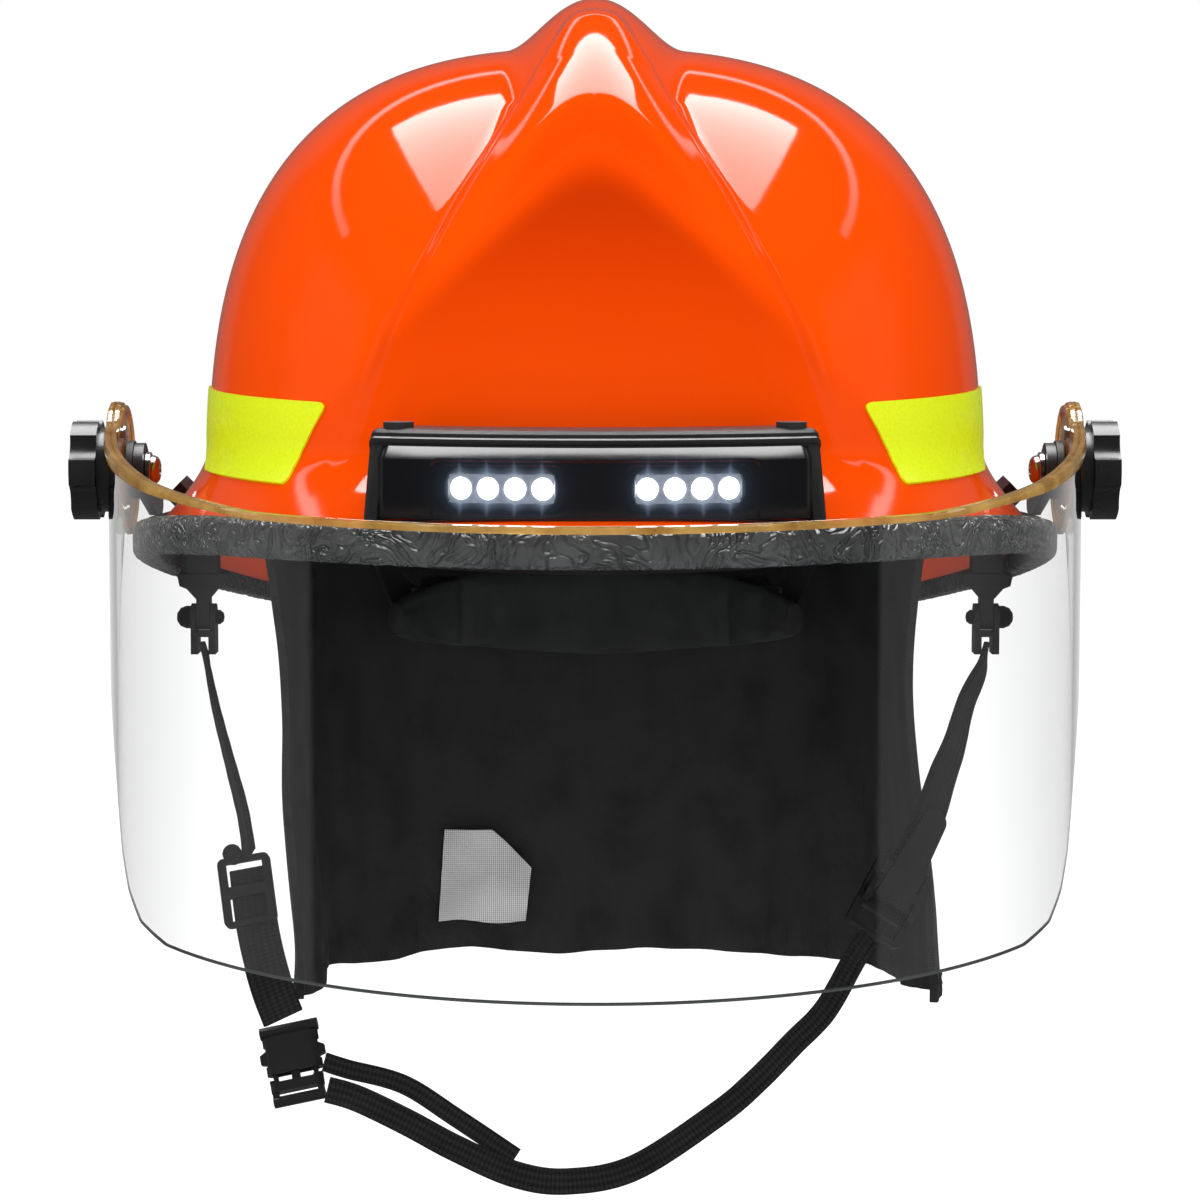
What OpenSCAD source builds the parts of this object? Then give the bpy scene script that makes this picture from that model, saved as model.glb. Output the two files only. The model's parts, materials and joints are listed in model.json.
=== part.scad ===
// Fire helmet with a wide brim, face shield, front light bar, chinstrap, neck curtain and ratchet headband.
// X points to the wearer's left, the front is -Y and Z is up. The origin is the middle of the headband.

/* [Shell] */
// Half width of the dome at its base
dome_half_w = 118; // [114:0.5:121]
// Reach of the dome in front of the headband's middle
dome_front = 140; // [137:0.5:143]
// Reach of the dome behind the headband's middle
dome_rear = 145; // [142:0.5:150]
// Height of the dome without its crest
dome_h = 138; // [135:0.5:144]
// Wall thickness of the shell
shell_t = 3; // [2:0.1:4]
// Height of the crest over the dome
crest_h = 15; // [8:0.5:20]
// Half width of the crest
crest_half_w = 27; // [20:0.5:32]

/* [Brim] */
// Half width over the edge trim
brim_half_w = 143.8; // [141:0.1:146]
// Reach of the edge trim in front of the headband's middle
brim_front = 185; // [182:0.5:187]
// Reach of the edge trim behind the headband's middle
brim_rear = 190; // [184:0.5:200]
// How far the rear brim lies below the front brim
brim_drop = 56; // [50:1:62]
// Height of the rubber edge trim
trim_h = 11.4; // [10:0.1:13]
// Depth of the rubber edge trim
trim_depth = 9; // [8:0.1:10]

/* [Face shield] */
// Room between the brim's widest part and the clear shield
shield_gap_side = 2.5; // [2:0.1:4]
// Room between the brim's front and the clear shield
shield_gap_front = 3.5; // [3:0.1:6]
// Thickness of the clear shield
shield_t = 2; // [1.5:0.1:2.4]
// Height of the pivots
pivot_z = 9.6; // [8:0.1:11]
// Lowest point of the clear shield below the origin
shield_drop = 118; // [100:1:130]
// Radius of the pivot bolts
bolt_r = 3; // [2.5:0.1:3.5]
// Radius over the lobes of the tension knobs
knob_r = 15.7; // [14:0.1:18]
// Thickness of the tension knobs' grips
knob_w = 8; // [6:0.5:10]

/* [Light bar] */
// Radius of the light bar's curved face in plan
lamp_face_r = 140; // [136:1:150]
// Reach of the light bar's face in front of the headband's middle
lamp_front = 168; // [167:0.5:169]
// Half width of the light bar
lamp_half_w = 62.6; // [60:0.5:66]
// Top of the light bar
lamp_top = 30; // [29.5:0.5:34]
// Radius of each emitter
emitter_r = 3; // [2:0.1:3.3]
// Radius of each push button
button_r = 4.1; // [3:0.1:4.5]
// Travel of each push button
button_travel = 1; // [0.5:0.1:1.5]

/* [Headband] */
// Inner half width of the headband, which is also the radius of its rear half
band_r = 80; // [78:0.5:82]
// Reach of the headband's rear arc centre behind the origin
band_centre_y = 18; // [14:0.5:20]
// Inner reach of the headband in front of the origin
band_front = 98; // [94:0.5:100]
// Thickness of the headband
band_t = 1.6; // [1.2:0.1:2]
// Height of the headband
band_h = 28; // [22:1:32]
// Thickness of the foam impact liner
liner_t = 12; // [8:0.5:14]
// Height of the nape ratchet's axis
nape_z = -42; // [-46:0.5:-40]
// Pitch radius of the ratchet pinion
pinion_r = 5; // [4.5:0.1:5.5]
// Teeth on the ratchet pinion
pinion_teeth = 10; // [8:1:12]
// Radius of the ratchet knob
ratchet_r = 15; // [12:0.5:18]

/* [Chinstrap] */
// Width of the webbing
webbing_w = 15; // [12:0.5:18]
// Thickness of the webbing
webbing_t = 1.8; // [1.2:0.1:2.4]
// Radius of the pins that the chinstrap hangs from
hanger_pin_r = 1.6; // [1.2:0.1:2]
// Length of the adjuster's pull lever
lever_len = 34; // [24:1:40]

/* [Neck curtain] */
// How far the curtain hangs below the origin
curtain_drop = 161; // [120:1:170]
// Half width of the curtain near its hem
curtain_half_w = 98; // [94:0.5:100]
// Reach of the curtain behind the origin near its hem
curtain_rear = 118; // [116:0.5:122]
// Thickness of the curtain's cloth
curtain_t = 2; // [1:0.1:3]
// Depth of the curtain's folds
fold_depth = 2.5; // [1:0.1:4]

/* [Hidden] */
// Clearance of seated pieces, and of what runs on a pin or in a bore
seat = 0.3;
run = 0.05;
// Shapes of the dome in plan, at its sides and at its front
plan_power = 2.15;
side_power = 2.75;
front_power = 2.2;
// Slopes of the brim at its sides, front and rear, in degrees
slope_side = 46;
slope_front = 20;
slope_rear = 38;
// Where the brim is widest, and how high the dome's wall starts to turn into it
brim_mid_y = 20;
brim_turn = 10;
// Rear end and fade of the crest, and where its front part starts
crest_end_y = 125;
crest_fade = 60;
crest_split_y = -50;
split_len = 25;
// Raised front that widens downwards from the crest
front_top_z = 125;
front_half_w = 19;
front_spread = 0.55;
front_flank = 7;
front_low = 1;
front_high = 3;
front_sink = 2;
// Arch that the crest ends in, over a straight panel
arch_z = 118;
arch_slope = 1.28;
arch_round = 13.6;
arch_edge = 8;
arch_soften = 0.2;
panel_top_z = 84;
inner_follow = 0.75;
// Facets round the shell, drawn closer together in front
sectors = 90;
front_bunch = 25;
shell_rings = 24;
brim_rings = 5;
// Parts of the visor's pivot, counted outwards from the helmet
shield_half_w = brim_half_w + shield_gap_side + shield_t;
shield_front = brim_front + shield_gap_front + shield_t;
shield_in = shield_half_w - shield_t;
ear_r = 19;
arm_t = 2;
arm_in = shield_in - arm_t - 0.1;
washer_t = 2;
bracket_t = 3;
bracket_out = arm_in - washer_t - 2 * 0.2;
bracket_in = bracket_out - bracket_t;
bracket_tip_r = 8.3;
head_r = 5.5;
head_t = 4.6;
collar_w = 4;
collar_r = 13;
knob_in = shield_half_w + 0.2;
knob_out = knob_in + collar_w + knob_w;
band_rim = 1.2;
rivet_r = 1.5;
// Screws through the brim that hold the brackets and the hangers
brim_screw_y = 28;
brim_screw_r = 2.5;
brim_screw_phi = 12.5;
pad_t = 3;
patch_gap = 0.4;
patch_t = 0.5;
hanger_half_w = 6;
// Pins of the chinstrap
hanger_x = 125;
hanger_z = -39;
eye_w = 4.2;
eye_r = 4;
fork_t = 1.6;
fork_x = hanger_x + eye_w / 2 + seat;
// Light bar
lamp_y = lamp_face_r - lamp_front;
lamp_half_a = asin(lamp_half_w / lamp_face_r);
lamp_wall = 1.8;
lamp_floor = 8.7;
bezel_t = 2.6;
bezel_r = lamp_face_r - 0.8;
lens_t = 1.4;
lens_r = bezel_r - bezel_t - 0.2;
board_t = 1.6;
board_r = lens_r - lens_t - 2.3;
window_from = lamp_deg(10.3);
window_to = lamp_deg(40.1);
emitter_z = 14.6;
emitters = 4;
cell_r = 5.1;
cell_len = 44.5;
cell_ring = board_r - board_t - cell_r - 2.4;
cell_a = asin((cell_len / 2 - 0.15) / cell_ring);
button_a = lamp_half_a - lamp_deg(7.2);
button_ring = lamp_face_r - 9;
bezel_half_a = lamp_half_a - lamp_deg(5.8);
board_half_a = lamp_half_a - lamp_deg(16);
cells_half_a = lamp_half_a - lamp_deg(13.8);
button_top = 1.5;
// Suspension
liner_gap = 1.5;
liner_floor = 14;
strap_t = 1.2;
strap_w = 20;
rack_gap = 0.4;
rack_t = 1.2;
rack_inner = band_r - 2;
rack_outer = rack_inner + rack_t + 0.5;
rack_half_h = 8.5;
rack_slot_end = 13;
module_mm = 2 * pinion_r / pinion_teeth;
case_inner = rack_inner - 2.6;
case_wall = 2;
case_half_h = rack_half_h + rack_gap + case_wall;
case_half_a = 24;
cover_inner = rack_outer + rack_t + 0.6;
cover_outer = cover_inner + 2;
arm_inner = band_r + band_t + seat;
ratchet_y = band_centre_y + cover_outer;

// Blends and small vector help
function lerp(a, b, t) = a + (b - a) * t;
function clamp01(t) = min(1, max(0, t));
function smooth(t) = let (c = clamp01(t)) c * c * (3 - 2 * c);
function unit(v) = v / norm(v);
function cross2(p, q) = p[0] * q[1] - p[1] * q[0];
function signed_volume(points, faces) =
    let (v = [for (f = faces) points[f[0]] * cross(points[f[1]], points[f[2]])])
    v * [for (i = v) 1];

// Radius of the brim's outline, over its trim, at a plan angle
function outline_r(phi) =
    let (
        s = sin(phi),
        behind = s > sin(atan2(brim_mid_y, brim_half_w)),
        b = behind ? brim_rear - brim_mid_y : brim_front + brim_mid_y,
        k = pow(cos(phi) / brim_half_w, 2) + pow(s / b, 2),
        m = brim_mid_y * s / (b * b)
    )
    (m + sqrt(m * m - k * (pow(brim_mid_y / b, 2) - 1))) / k;

// Height of the trim's middle at a distance from front to rear
function trim_z(y) = -brim_drop * pow((y + brim_front) / (brim_front + brim_rear), 2);

function brim_slope(phi) =
    slope_side + (slope_front - slope_side) * pow(max(0, -sin(phi)), 3)
    + (slope_rear - slope_side) * pow(max(0, sin(phi)), 2);

function dome_r(phi) =
    let (b = sin(phi) < 0 ? dome_front : dome_rear)
    pow(pow(abs(cos(phi)) / dome_half_w, plan_power) + pow(abs(sin(phi)) / b, plan_power),
        -1 / plan_power);

function dome_power(phi) = side_power + (front_power - side_power) * pow(max(0, -sin(phi)), 3);

// Radius and height of the shell's outer face at the trimmed edge
function edge_rz(phi) =
    let (r = outline_r(phi))
    [r - trim_depth / 2, trim_z(r * sin(phi)) + shell_t / 2 * cos(brim_slope(phi))];

// Point of the dome at a crown angle: radius, height, and its normal in that plane
function dome_at(phi, p) =
    let (
        w = dome_r(phi),
        n = dome_power(phi),
        r = p < 90 ? w * pow(sin(p), 2 / n) : w,
        z = p < 90 ? dome_h * pow(cos(p), 2 / n) : 90 - p,
        g = z > 0 ? [pow(r / w, n - 1) / w, pow(z / dome_h, n - 1) / dome_h] : [1, 0],
        u = unit(g)
    )
    [r, z, u[0], u[1]];

// Crown angle at which the dome's wall turns into the brim
function turn_angle(phi) =
    let (
        e = edge_rz(phi),
        z = e[1] + (e[0] - dome_r(phi)) * tan(brim_slope(phi)) + brim_turn
    )
    z > 0 ? acos(pow(z / dome_h, dome_power(phi) / 2)) : 90 - z;

// The four control points of the curve from the wall down to the brim's edge
function brim_curve(phi) =
    let (
        d = dome_at(phi, turn_angle(phi)),
        e = edge_rz(phi),
        s = brim_slope(phi),
        u = [d[3], -d[2]],
        w = [-cos(s), sin(s)],
        a = cross2([e[0] - d[0], e[1] - d[1]], w) / cross2(u, w),
        i = [d[0] + a * u[0], d[1] + a * u[1]]
    )
    [[d[0], d[1]], lerp([d[0], d[1]], i, 0.8), lerp(e, i, 0.85), e];

function bezier(c, t) =
    pow(1 - t, 3) * c[0] + 3 * pow(1 - t, 2) * t * c[1] + 3 * (1 - t) * t * t * c[2] + pow(t, 3) * c[3];

function bezier_way(c, t) =
    unit(pow(1 - t, 2) * (c[1] - c[0]) + 2 * (1 - t) * t * (c[2] - c[1]) + t * t * (c[3] - c[2]));

// Section of the shell's outer face: u runs from 0 at the crown over 1 at the turn to 2 at the edge
function section(phi, u) =
    u <= 1 ? dome_at(phi, max(0.2, u * turn_angle(phi)))
    : let (c = brim_curve(phi), p = bezier(c, u - 1), w = bezier_way(c, u - 1)) [p[0], p[1], -w[1], w[0]];

// How far the crest stands over the dome; it widens below the arch
function crest(p) =
    let (w = crest_half_w + front_spread * max(0, arch_z - p[2]))
    crest_h * pow(max(0, 1 - pow(p[0] / w, 2)), 2) * smooth((crest_end_y - p[1]) / crest_fade);
function front_share(p) = smooth((crest_split_y - p[1]) / split_len);

// Step of the raised front over the dome; low down its middle is sunk behind the light bar
function front_step(p) =
    let (
        w = front_half_w + front_spread * max(0, front_top_z - p[2]) - abs(p[0]),
        low = 1 - clamp01((p[2] - 30) / 60)
    )
    smooth(w / front_flank) * lerp(front_high, front_low, low) * smooth((front_top_z - p[2]) / 15)
    - front_sink * low * smooth((w - 10) / 8);

// How much of a point lies below the arch
function below_arch(p) =
    let (z = arch_z - arch_slope * (sqrt(p[0] * p[0] + arch_round * arch_round) - arch_round))
    smooth((z - p[2]) / (arch_edge + arch_soften * max(0, arch_z - p[2])) + 0.5);

// Height of the panel, which runs on straight where the dome curves back
function panel_rise(phi, q) =
    let (
        a = dome_at(-90, acos(pow(panel_top_z / dome_h, front_power / 2))),
        r = a[0] * dome_r(phi) / dome_front
    )
    q[1] < panel_top_z ? 0
    : max(0, ((a[1] - q[1]) * a[3] + (r - q[0]) * a[2]) / (q[2] * a[2] + q[3] * a[3]));

// Relief of the outer face, and of the inner face, which follows it less deeply
function relief(phi, q, p, inside) =
    let (
        f = front_share(p),
        h = f > 0 ? lerp(crest(p), panel_rise(phi, q), f * below_arch(p)) : crest(p)
    )
    inside ? inner_follow * h : h + f * front_step(p);

// Point on the shell, moved along the wall's normal
function shell_point(phi, u, off = 0, inside = false) =
    let (
        q = section(phi, u),
        p = [q[0] * cos(phi), q[0] * sin(phi), q[1]],
        fade = u > 1 ? pow(2 - u, 2) : 1,
        h = off + fade * relief(phi, q, p, inside)
    )
    p + h * [q[2] * cos(phi), q[2] * sin(phi), q[3]];

// Height of the brim's upper face, or of a face that lies deeper, over a point in plan
function brim_step(c, r, lo, hi, n) =
    let (t = (lo + hi) / 2)
    n == 0 ? t : bezier(c, t)[0] < r ? brim_step(c, r, t, hi, n - 1) : brim_step(c, r, lo, t, n - 1);
function brim_z(x, y, depth = 0) =
    let (
        phi = atan2(y, x),
        r = norm([x, y]),
        c = brim_curve(phi),
        t = brim_step(c, r, 0, 1, 18),
        w = bezier_way(c, t)
    )
    bezier(c, t)[1] - depth / w[0];

function sector_angle(i, n) = -90 + 360 * i / n - front_bunch * sin(360 * i / n);

// Solid through a list of closed rings with the same even number of points
module loft(rings, closed = false) {
    n = len(rings[0]);
    m = len(rings);
    points = [for (r = rings) each r];
    walls = [for (i = [0 : closed ? m - 1 : m - 2], j = [0 : n - 1])
        let (a = i * n + j, b = i * n + (j + 1) % n, e = (i + 1) % m * n)
        each [[a, b, e + (j + 1) % n], [a, e + (j + 1) % n, e + j]]];
    last = (m - 1) * n;
    caps = closed ? [] : [for (j = [0 : n / 2 - 2])
        each [[j + 1, j, n - 1 - j], [j + 1, n - 1 - j, n - 2 - j],
            [last + j, last + j + 1, last + n - 1 - j], [last + n - 1 - j, last + j + 1, last + n - 2 - j]]];
    faces = concat(walls, caps);
    outward = signed_volume(points, faces) < 0;
    polyhedron(points, outward ? faces : [for (f = faces) [f[0], f[2], f[1]]]);
}

// A piece and its twin on the helmet's other side
module both() {
    children();
    mirror([1, 0, 0]) children();
}

module side_of(sign) {
    if (sign > 0) children();
    else mirror([1, 0, 0]) children();
}

// Cylinder along X from x0 to x1
module rod_x(x0, x1, r, y = 0, z = pivot_z) {
    translate([x0, y, z]) rotate([0, 90, 0]) cylinder(r = r, h = x1 - x0, $fn = 64);
}

// Block that follows a circle in plan about a point on the Y axis
module sector(r0, r1, z0, z1, a0, a1, y) {
    translate([0, y, 0]) rotate([0, 0, a0])
        rotate_extrude(angle = a1 - a0, $fn = 160) translate([r0, z0]) square([r1 - r0, z1 - z0]);
}

function ring_point(r, a, z, y = band_centre_y) = [r * cos(a), y + r * sin(a), z];

module shell() {
    outer = [for (i = [0 : shell_rings + brim_rings])
        let (u = i <= shell_rings ? i / shell_rings : 1 + (i - shell_rings) / brim_rings)
        [for (k = [0 : sectors - 1]) shell_point(sector_angle(k, sectors), u)]];
    inner = [for (u = [2, 1.6, 1.3, 1, 0.86, 0.72, 0.58, 0.44, 0.3, 0.2, 0.1, 0])
        [for (k = [0 : sectors - 1]) shell_point(sector_angle(k, sectors), u, -shell_t, true)]];
    color("orangered") difference() {
        loft(concat(outer, inner));
        both() brim_screw_line(-shell_t - 6, 6, brim_screw_r + 0.2);
        both() lamp_screw_at() translate([0, 0, -10]) cylinder(r = 2.2, h = 20, $fn = 32);
    }
}

// Section of the trim: a channel whose slot takes the brim's edge at its own slope
function trim_section(phi) =
    let (
        s = brim_slope(phi),
        d = trim_depth / 2,
        h = trim_h / 2,
        g = shell_t / 2 + 0.15,
        mid = [-shell_t / 2 * sin(s), 0],
        along = [cos(s), -sin(s)],
        up = [sin(s), cos(s)],
        t_side = (d + mid[0] + g * sin(s)) / cos(s),
        t_top = (h - g * cos(s)) / sin(s),
        t = min(t_side, t_top),
        t_low = (d + mid[0] - g * sin(s)) / cos(s),
        lip = 0.7
    )
    [[max(-d, mid[0] - t * cos(s) + g * sin(s)) + lip, h], [d - 2 * lip, h], [d, h - 2 * lip],
        [d, 2 * lip - h], [d - 2 * lip, -h], [lip - d, -h], [-d, lip - h],
        mid - t_low * along - g * up, mid + seat * along - g * up, mid + seat * along + g * up,
        mid - (t - lip) * along + g * up];

module edge_trim() {
    color("dimgray") loft([for (k = [0 : sectors - 1])
        let (phi = sector_angle(k, sectors), r = outline_r(phi), z = trim_z(r * sin(phi)))
        [for (q = trim_section(phi))
            let (e = r - trim_depth / 2 + q[0]) [e * cos(phi), e * sin(phi), z + q[1]]]], closed = true);
}

// Reflective patch on the shell, given by the plan angle and height of its corners: top pair, foot pair
module patch(top, foot) {
    across = 14;
    down = 5;
    function patch_point(i, k, off) =
        let (q = lerp(lerp(top[0], top[1], i / across), lerp(foot[0], foot[1], i / across), k / down))
        shell_point(q[0], q[1], off);
    loft([for (i = [0 : across]) concat(
        [for (k = [0 : down]) patch_point(i, k, patch_gap + patch_t)],
        [for (k = [down : -1 : 0]) patch_point(i, k, patch_gap)])]);
}

module reflectors() {
    color("yellow") both() {
        patch([[-56.5, 0.96], [-4, 0.94]], [[-53.3, 1.58], [-24, 1.43]]);
        patch([[38, 0.93], [62, 0.93]], [[40, 1.2], [60, 1.2]]);
    }
}

// Place along a screw through the brim's side, square to the brim, with its height over the brim
module brim_screw_line(z0, z1, r, sides = 32) {
    x = norm([outline_r(brim_screw_phi) * cos(brim_screw_phi), 0]) - 17;
    translate([x, brim_screw_y, brim_z(x, brim_screw_y)]) rotate([0, slope_side, 0])
        translate([0, 0, z0]) cylinder(r = r, h = z1 - z0, $fn = sides);
}

module brim_screws() {
    color("dimgray") both() {
        brim_screw_line(-10.6, pad_t + 1, brim_screw_r);
        brim_screw_line(pad_t + 0.6, pad_t + 6, 5.2, 6);
    }
}

module brim_nuts() {
    color("silver") both() difference() {
        brim_screw_line(-10.2, -6.6, 4.6, 6);
        brim_screw_line(-10.3, -6.5, brim_screw_r + run);
    }
}

// Foot on the brim and arm out to the face shield's pivot
module visor_bracket(sign) {
    foot_in = 121;
    foot_out = 134.6;
    color([0.12, 0.12, 0.13]) side_of(sign) difference() {
        union() {
            loft([for (y = [brim_screw_y - 7, brim_screw_y, brim_screw_y + 7])
                [[foot_in, y, brim_z(foot_in, y) + seat], [128, y, brim_z(128, y) + seat],
                    [foot_out, y, brim_z(foot_out, y) + seat], [bracket_out, y, trim_z(y) + trim_h / 2 + 1.4],
                    [bracket_out, y, trim_z(y) + trim_h / 2 + 4.6],
                    [133, y, brim_z(133, y) + pad_t + 2.2], [128, y, brim_z(128, y) + pad_t + 1.3],
                    [foot_in, y, brim_z(foot_in, y) + pad_t + 1.3]]]);
            translate([bracket_in, 0, 0]) rotate([90, 0, 90]) linear_extrude(bracket_t) hull() {
                translate([0, pivot_z]) circle(r = bracket_tip_r, $fn = 64);
                translate([brim_screw_y + 3, -2.6]) circle(r = 3.6, $fn = 32);
                translate([brim_screw_y - 5, -2.6]) circle(r = 3.6, $fn = 32);
            }
        }
        rod_x(bracket_in - 5, bracket_out + 5, bolt_r + run);
        brim_screw_line(-8, pad_t + 8, brim_screw_r + 0.2);
        brim_screw_line(pad_t, pad_t + 12, 6.2);
    }
}

// Domed head inside, shank through bracket, washer, frame and shield into the knob
module pivot_bolt(sign) {
    color("silver") side_of(sign) {
        rod_x(bracket_in - 1, knob_out - 3.5, bolt_r);
        difference() {
            union() {
                rod_x(bracket_in - 2, bracket_in - 0.1, head_r);
                intersection() {
                    translate([bracket_in - 2, 0, pivot_z]) rotate([0, -90, 0])
                        cylinder(r1 = head_r, r2 = head_r * 0.55, h = head_t - 2, $fn = 48);
                    rod_x(bracket_in - head_t, bracket_in - 1, head_r);
                }
            }
            translate([bracket_in - head_t - 1, 0, pivot_z]) rotate([0, 90, 0]) cylinder(r = 1.7, h = 3, $fn = 6);
        }
    }
}

module pivot_washers() {
    color([0.15, 0.15, 0.15]) both() difference() {
        rod_x(bracket_out + 0.2, bracket_out + 0.2 + washer_t, 9);
        rod_x(bracket_out - 1, bracket_out + washer_t + 2, bolt_r + run);
    }
}

// Plan of the face shield, moved in or out, with both of its straight ears
function shield_plan(off) =
    let (w = shield_half_w + off, n = 72)
    concat([[-w, ear_r + 2]], [for (k = [0 : n]) [-w * cos(180 * k / n), -(shield_front + off) * sin(180 * k / n)]],
        [[w, ear_r + 2]]);
module shield_ring(off0, off1) {
    inner = shield_plan(off0);
    translate([0, 0, -shield_drop - 20]) linear_extrude(shield_drop + 80)
        polygon(concat(shield_plan(off1), [for (k = [len(inner) - 1 : -1 : 0]) inner[k]]));
}

module across_helmet() {
    translate([-200, 0, 0]) rotate([90, 0, 90]) linear_extrude(400) children();
}

// Side view of the shield: Y to the right, Z up
module shield_side(grow = 0) {
    front = -shield_front - 10;
    circle_at(0, pivot_z, ear_r + grow);
    polygon([[front, 5.5 + grow], [-150, 6.5 + grow], [-99, 11 + grow], [-50, 17 + grow],
        [-18, 22.5 + grow], [-3, 24 + grow], [-3, -6], [-12, -19], [-25, -36], [-36, -50], [-48, -63],
        [-57, -76], [-63, -88], [-68, -98], [-77, -108], [-90, -shield_drop + 3],
        [-110, -shield_drop], [front, -shield_drop]]);
}

module circle_at(x, y, r) {
    translate([x, y]) circle(r = r, $fn = 64);
}

module visor_shield() {
    color([0.85, 0.9, 0.95, 0.35]) difference() {
        intersection() {
            shield_ring(-shield_t, 0);
            across_helmet() shield_side();
        }
        rod_x(-200, 200, bolt_r + run);
        both() visor_rivet_places() rod_x(110, 160, rivet_r + 0.1, 0, 0);
    }
}

// Rivets lie on the frame's arms around each pivot
module visor_rivet_places() {
    for (p = [[-13, -2.4], [-13, 21.6], [13.4, 9.6]]) translate([0, p[0], p[1]]) children();
}

module visor_rivets() {
    color("silver") both() visor_rivet_places() {
        rod_x(arm_in - 0.9, shield_half_w + 0.1, rivet_r, 0, 0);
        rod_x(arm_in - 1.2, arm_in - 0.5, rivet_r + 0.7, 0, 0);
    }
}

// Amber frame: a channel over the shield's top edge and an arm inside each ear
module visor_frame() {
    rim_h = 3.2;
    color("goldenrod") difference() {
        union() {
            intersection() {
                shield_ring(-shield_t - band_rim, band_rim);
                across_helmet() difference() {
                    shield_side(band_rim);
                    translate([0, -rim_h]) shield_side();
                    translate([-14, -60]) square([40, 120]);
                }
            }
            intersection() {
                shield_ring(-shield_t - 0.1 - arm_t, -shield_t - 0.1);
                across_helmet() difference() {
                    hull() {
                        circle_at(0, pivot_z, ear_r + 1);
                        circle_at(-26, 12, 6.5);
                    }
                    translate([-15, 9.6]) square([3.2, 9], center = true);
                }
            }
        }
        intersection() {
            shield_ring(-shield_t - 0.05, 0.05);
            across_helmet() shield_side(0.05);
        }
        rod_x(-200, 200, bolt_r + run);
        both() visor_rivet_places() rod_x(110, 160, rivet_r + 0.1, 0, 0);
    }
}

// Six-lobed grip on a round collar
module visor_knob(sign) {
    color([0.1, 0.1, 0.1]) side_of(sign) difference() {
        union() {
            rod_x(knob_in, knob_in + collar_w, collar_r);
            translate([knob_in + collar_w, 0, pivot_z]) rotate([90, 0, 90]) linear_extrude(knob_w) difference() {
                circle(r = knob_r, $fn = 96);
                for (k = [0 : 5]) rotate(60 * k + 30) translate([knob_r + 4.2, 0]) circle(r = 6.4, $fn = 48);
            }
        }
        rod_x(knob_in - 1, knob_out - 2.6, 5.2);
        rod_x(knob_out - 0.8, knob_out + 1, 9);
    }
}

module knob_insert(sign) {
    color("gold") side_of(sign) difference() {
        rod_x(knob_in + 0.4, knob_out - 3, 5.15);
        rod_x(knob_in - 1, knob_out, bolt_r + run);
    }
}

module chin_hanger(sign) {
    under = shell_t + seat;
    color([0.12, 0.12, 0.13]) side_of(sign) difference() {
        union() {
            loft([for (y = [brim_screw_y - hanger_half_w, brim_screw_y, brim_screw_y + hanger_half_w])
                [[130, y, brim_z(130, y, under) - 0.1], [128, y, brim_z(128, y, under) - 0.1],
                    [125, y, brim_z(125, y, under) - 0.1], [119.5, y, brim_z(119.5, y, under) - 0.1],
                    [117, y, brim_z(119.5, y, under) - 4.5], [121, y, brim_z(121, y, under) - 6.5],
                    [126, y, brim_z(126, y, under) - 6.5], [130, y, brim_z(130, y, under) - 5]]]);
            loft([for (q = [[-15, 4.8, 5], [-24.4, 4.8, 5.5], [-25, 8, 6], [-28.6, 7.2, 6], [-29.6, 5, 5],
                [-33, eye_w / 2, eye_r], [hanger_z, eye_w / 2, eye_r]])
                [for (e = [[1, 1], [-1, 1], [-1, -1], [1, -1]])
                    [hanger_x + e[0] * q[1], brim_screw_y + e[1] * q[2], q[0]]]]);
            rod_x(hanger_x - eye_w / 2, hanger_x + eye_w / 2, eye_r, brim_screw_y, hanger_z);
        }
        rod_x(hanger_x - 9, hanger_x + 9, hanger_pin_r + run, brim_screw_y, hanger_z);
        brim_screw_line(-shell_t - 20, 0, brim_screw_r + 0.2);
        brim_screw_line(-shell_t - 22, -6.6 + 0.2, 6);
    }
}

// Pin with a large domed head outside and a small one inside
module hanger_pins() {
    x0 = fork_x + fork_t + 0.2;
    x1 = 2 * hanger_x - x0;
    color("dimgray") both() {
        rod_x(x1 - 1, x0 + 1, hanger_pin_r, brim_screw_y, hanger_z);
        translate([x0, brim_screw_y, hanger_z]) rotate([0, 90, 0])
            rotate_extrude($fn = 48) polygon([[0, 0], [3.6, 0], [3.6, 1.6], [2.9, 3.4], [1.4, 4.5], [0, 4.7]]);
        translate([x1, brim_screw_y, hanger_z]) rotate([0, -90, 0])
            rotate_extrude($fn = 48) polygon([[0, 0], [2.3, 0], [2.3, 1], [1.4, 2.1], [0, 2.4]]);
    }
}

module light_place() {
    translate([0, lamp_y, 0]) children();
}

function lamp_xy(r, a) = [r * sin(a), lamp_y - r * cos(a)];

// Angle that a length along the light bar's face takes
function lamp_deg(len) = len / lamp_face_r * 180 / PI;

// Curved block of the light bar, as wide to both sides or from one angle to another
module lamp_sector(r0, r1, z0, z1, a1, a0 = undef) {
    sector(r0, r1, z0, z1, (is_undef(a0) ? -a1 : a0) - 90, a1 - 90, lamp_y);
}

// Section of the light bar's body at a plan angle; its underside follows the brim
function lamp_section(a, inset) =
    let (
        f = lamp_face_r - 1.2 * inset,
        p = lamp_xy(f, a),
        m = lamp_xy(lamp_face_r - 9, a),
        b = lamp_xy(lamp_face_r - 24 + inset, a),
        top = lamp_top - inset
    )
    [[p[0], p[1], brim_z(p[0], p[1]) + seat + inset], concat(p, top - 2.5), concat(lamp_xy(f - 2, a), top),
        concat(b, top), concat(b, max(brim_z(b[0], b[1]) + seat, 9 + inset)),
        [m[0], m[1], brim_z(m[0], m[1]) + seat + inset]];

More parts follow.
